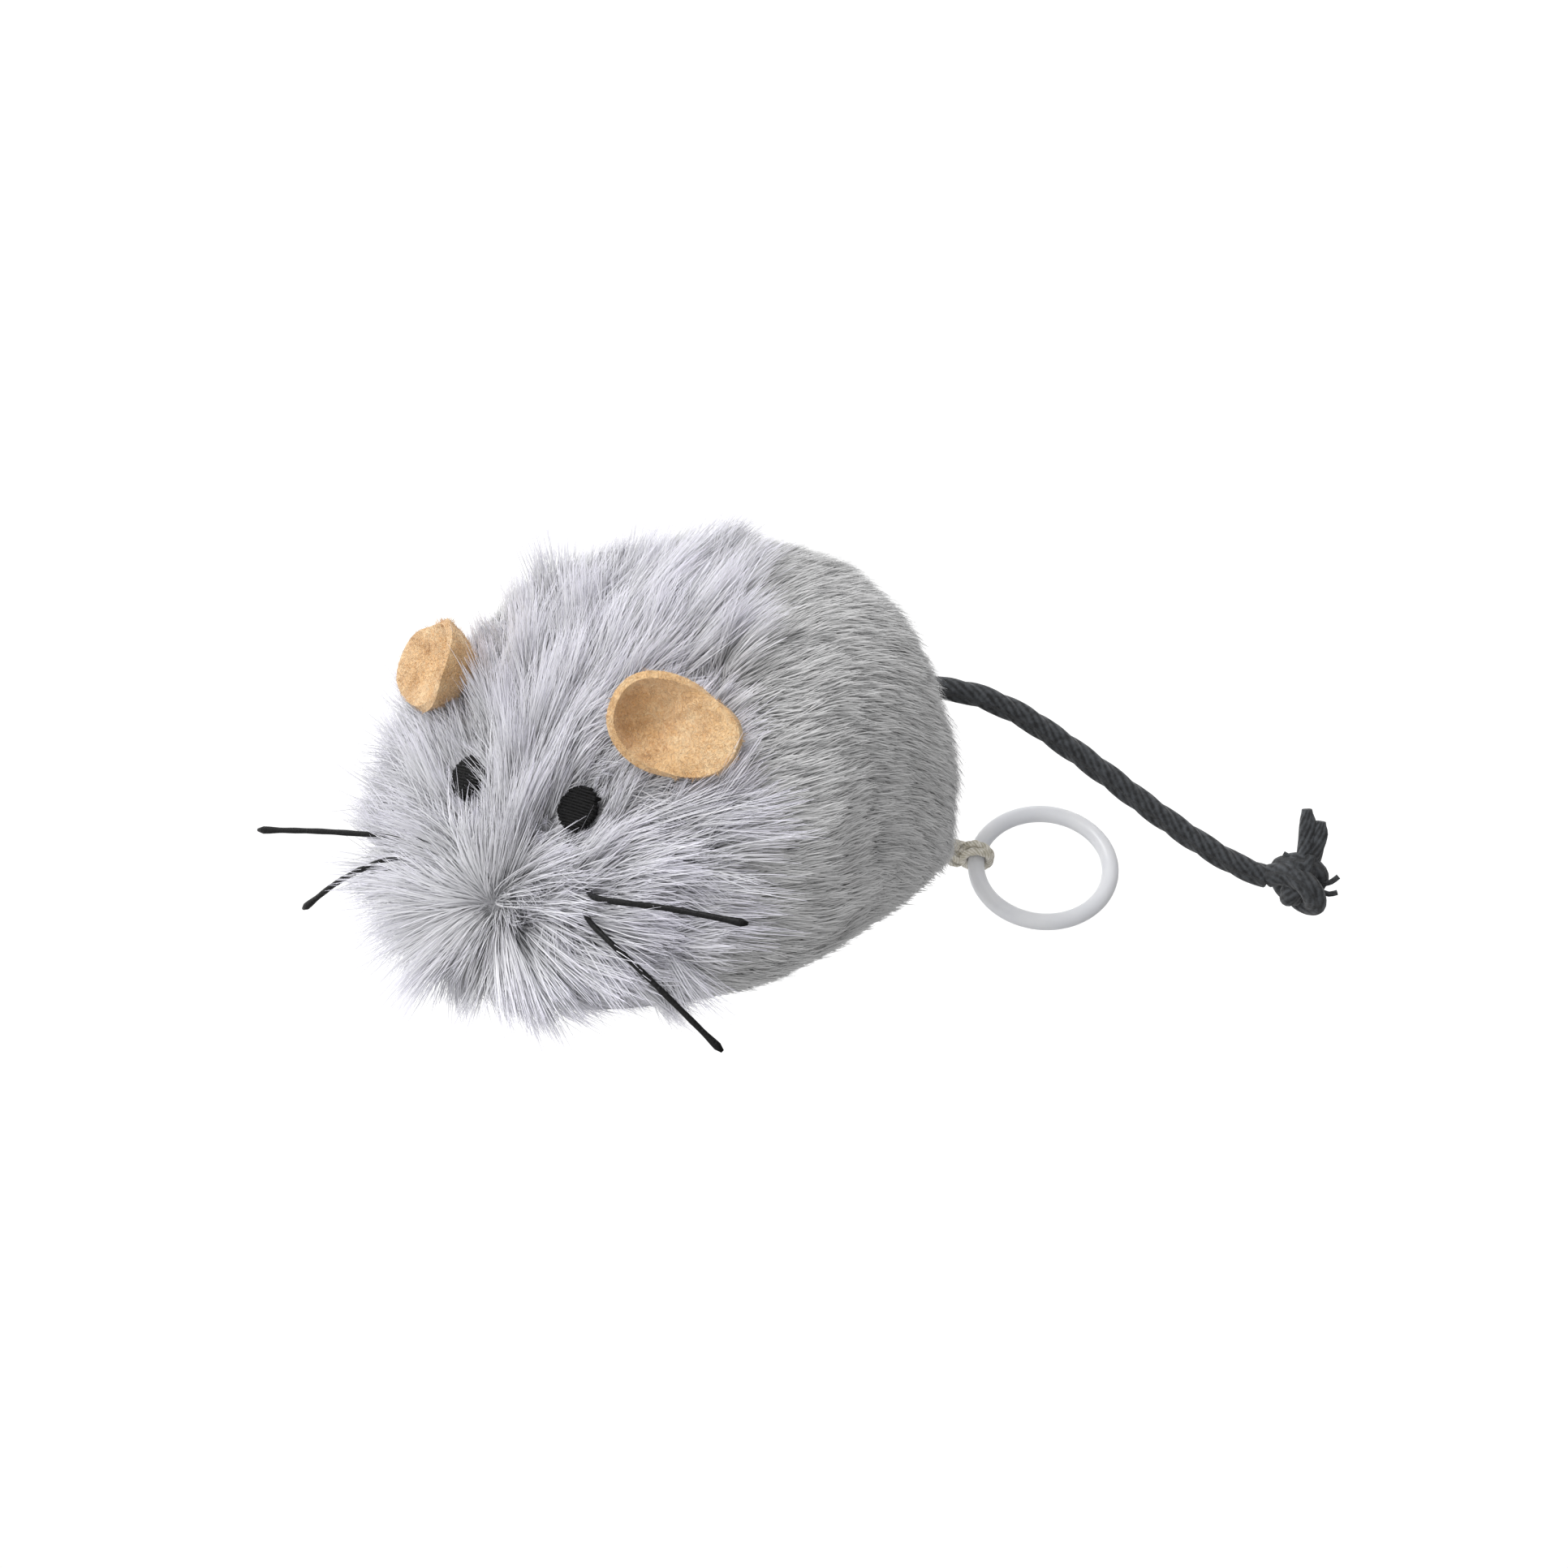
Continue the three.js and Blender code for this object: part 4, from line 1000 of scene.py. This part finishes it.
def make_whisker(level, route):
    """A waxed thread sewn right through the snout, with a thickened bead of wax at each tip."""
    fine = smooth_route(route, 0.8)
    share = np.linspace(0, 1, len(fine))
    tip = np.maximum(1 - ease(share, 0, 0.05), ease(share, 0.95, 1))
    radii = 0.36 + 0.14 * tip + 0.02 * np.sin(share * 130)
    radii[0] = radii[-1] = 0.22
    points, faces, where = sweep(fine, radii, 10)
    piece = mesh_object("whisker_" + level, points, faces, attributes={"where": where})
    piece.data.materials.append(WAXED)
    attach(piece, "root")
    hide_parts("whisker_thread_" + level)


for side, sign in (("left", 1), ("right", -1)):
    make_eye(side, sign)
    make_ear(side, sign)
for level, route in WHISKERS.items():
    make_whisker(level, route)


# ---- pull ring, its knot and the cord

def ring_axes():
    heading, lean, roll = (math.radians(a) for a in (RING_HEADING, RING_LEAN, RING_ROLL))
    across = np.array((math.cos(heading), math.sin(heading), 0))
    leaning = np.array((-math.sin(heading) * math.cos(lean), math.cos(heading) * math.cos(lean), math.sin(lean)))
    outward = across * math.cos(roll) - leaning * math.sin(roll)
    normal = np.cross(across, leaning)
    return outward, np.cross(normal, outward), normal


OUTWARD, TANGENT, RING_NORMAL = ring_axes()
GRIP = RING_CENTRE - OUTWARD * RING_RADIUS
LOOP_RADIUS = RING_TUBE + 0.7
KNOT_CENTRE = GRIP - OUTWARD * (LOOP_RADIUS + 1)


def make_ring():
    angles = np.linspace(0, 2 * math.pi, 128, endpoint=False)
    route = [RING_CENTRE + RING_RADIUS * (math.cos(a) * OUTWARD + math.sin(a) * TANGENT) for a in angles]
    points, faces, _ = sweep(route, RING_TUBE, 28, closed=True)
    ring = mesh_object("milky_ring", points, faces)
    ring.data.materials.append(MILKY)
    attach(ring, "ring")
    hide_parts("pull_ring")


def cord_sweep(route, step=0.18, radius=0.55):
    return sweep(smooth_route(route, step), radius, 14, lobes=2, lobe_depth=0.25, pitch=CORD_PITCH)


def make_cord_knot():
    """Two loops of cord round the ring, drawn down into a small double knot."""
    parts = []
    for shift, tilt in ((-0.55, 0.25), (0.55, -0.2)):
        loop = []
        for a in np.linspace(0, 2 * math.pi, 15):
            outward, sideways, over = math.cos(a) * 1.75, shift + tilt * math.cos(a), math.sin(a) * 1.75
            loop.append(GRIP + TANGENT * sideways + OUTWARD * outward + RING_NORMAL * over)
        parts.append(cord_sweep(loop))
    knot = [(-0.2, 0.2, 0.9), (0.5, 0.9, 0.5), (0.9, 0.3, -0.7), (0.1, -0.9, -0.8), (-0.8, -0.7, 0.3),
            (-0.5, 0.6, 0.9), (0.6, 0.8, -0.1), (0.7, -0.5, -0.6), (-0.3, -0.8, 0.5), (-0.9, 0.1, -0.3),
            (-0.1, 0.7, -0.9), (0.6, 0.1, 0.6)]
    parts.append(cord_sweep([KNOT_CENTRE + OUTWARD * a * 1.45 + TANGENT * b * 1.15 + RING_NORMAL * c * 1.2
                             for a, b, c in knot]))
    stub = [KNOT_CENTRE + RING_NORMAL * 0.6, KNOT_CENTRE + RING_NORMAL * 1.5 + TANGENT * 0.6 - OUTWARD * 0.3]
    parts.append(cord_sweep(stub))
    points, faces, where = joined(parts)
    piece = mesh_object("ring_knot", points, faces, attributes={"where": where})
    piece.data.materials.append(CREAM)
    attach(piece, "cord_end")
    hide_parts("cord_knot")


def make_pull_cord():
    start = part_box("pull_cord")[0]
    x, height = 10.0, 10.2
    route = [(x, start[1] / MM, height), (x, 20, height), (x, 31.5, height), (x, 37, height),
             tuple(KNOT_CENTRE + np.array((-0.2, -0.9, 0.4)))]
    points, faces, where = cord_sweep(route, step=0.12, radius=0.48)
    piece = mesh_object("pull_cord_drawn", points, faces, attributes={"where": where})
    piece.data.materials.append(CREAM)
    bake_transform(piece, "root", "cord_end", start=(x * MM, 37 * MM, height * MM),
             end=tuple((KNOT_CENTRE + np.array((-0.2, -1.2, 0.5))) * MM))
    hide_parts("pull_cord")


make_ring()
make_cord_knot()
make_pull_cord()


# ---- finishes of the carried-over pieces inside

slot_of = {row["node"]: row["material_slot"] for row in frame["record"]["subparts"]}
for node, obj in frame["nodes"].items():
    look = SLOT_LOOKS.get(slot_of.get(node))
    if look:
        obj.data.materials.clear()
        obj.data.materials.append(look)
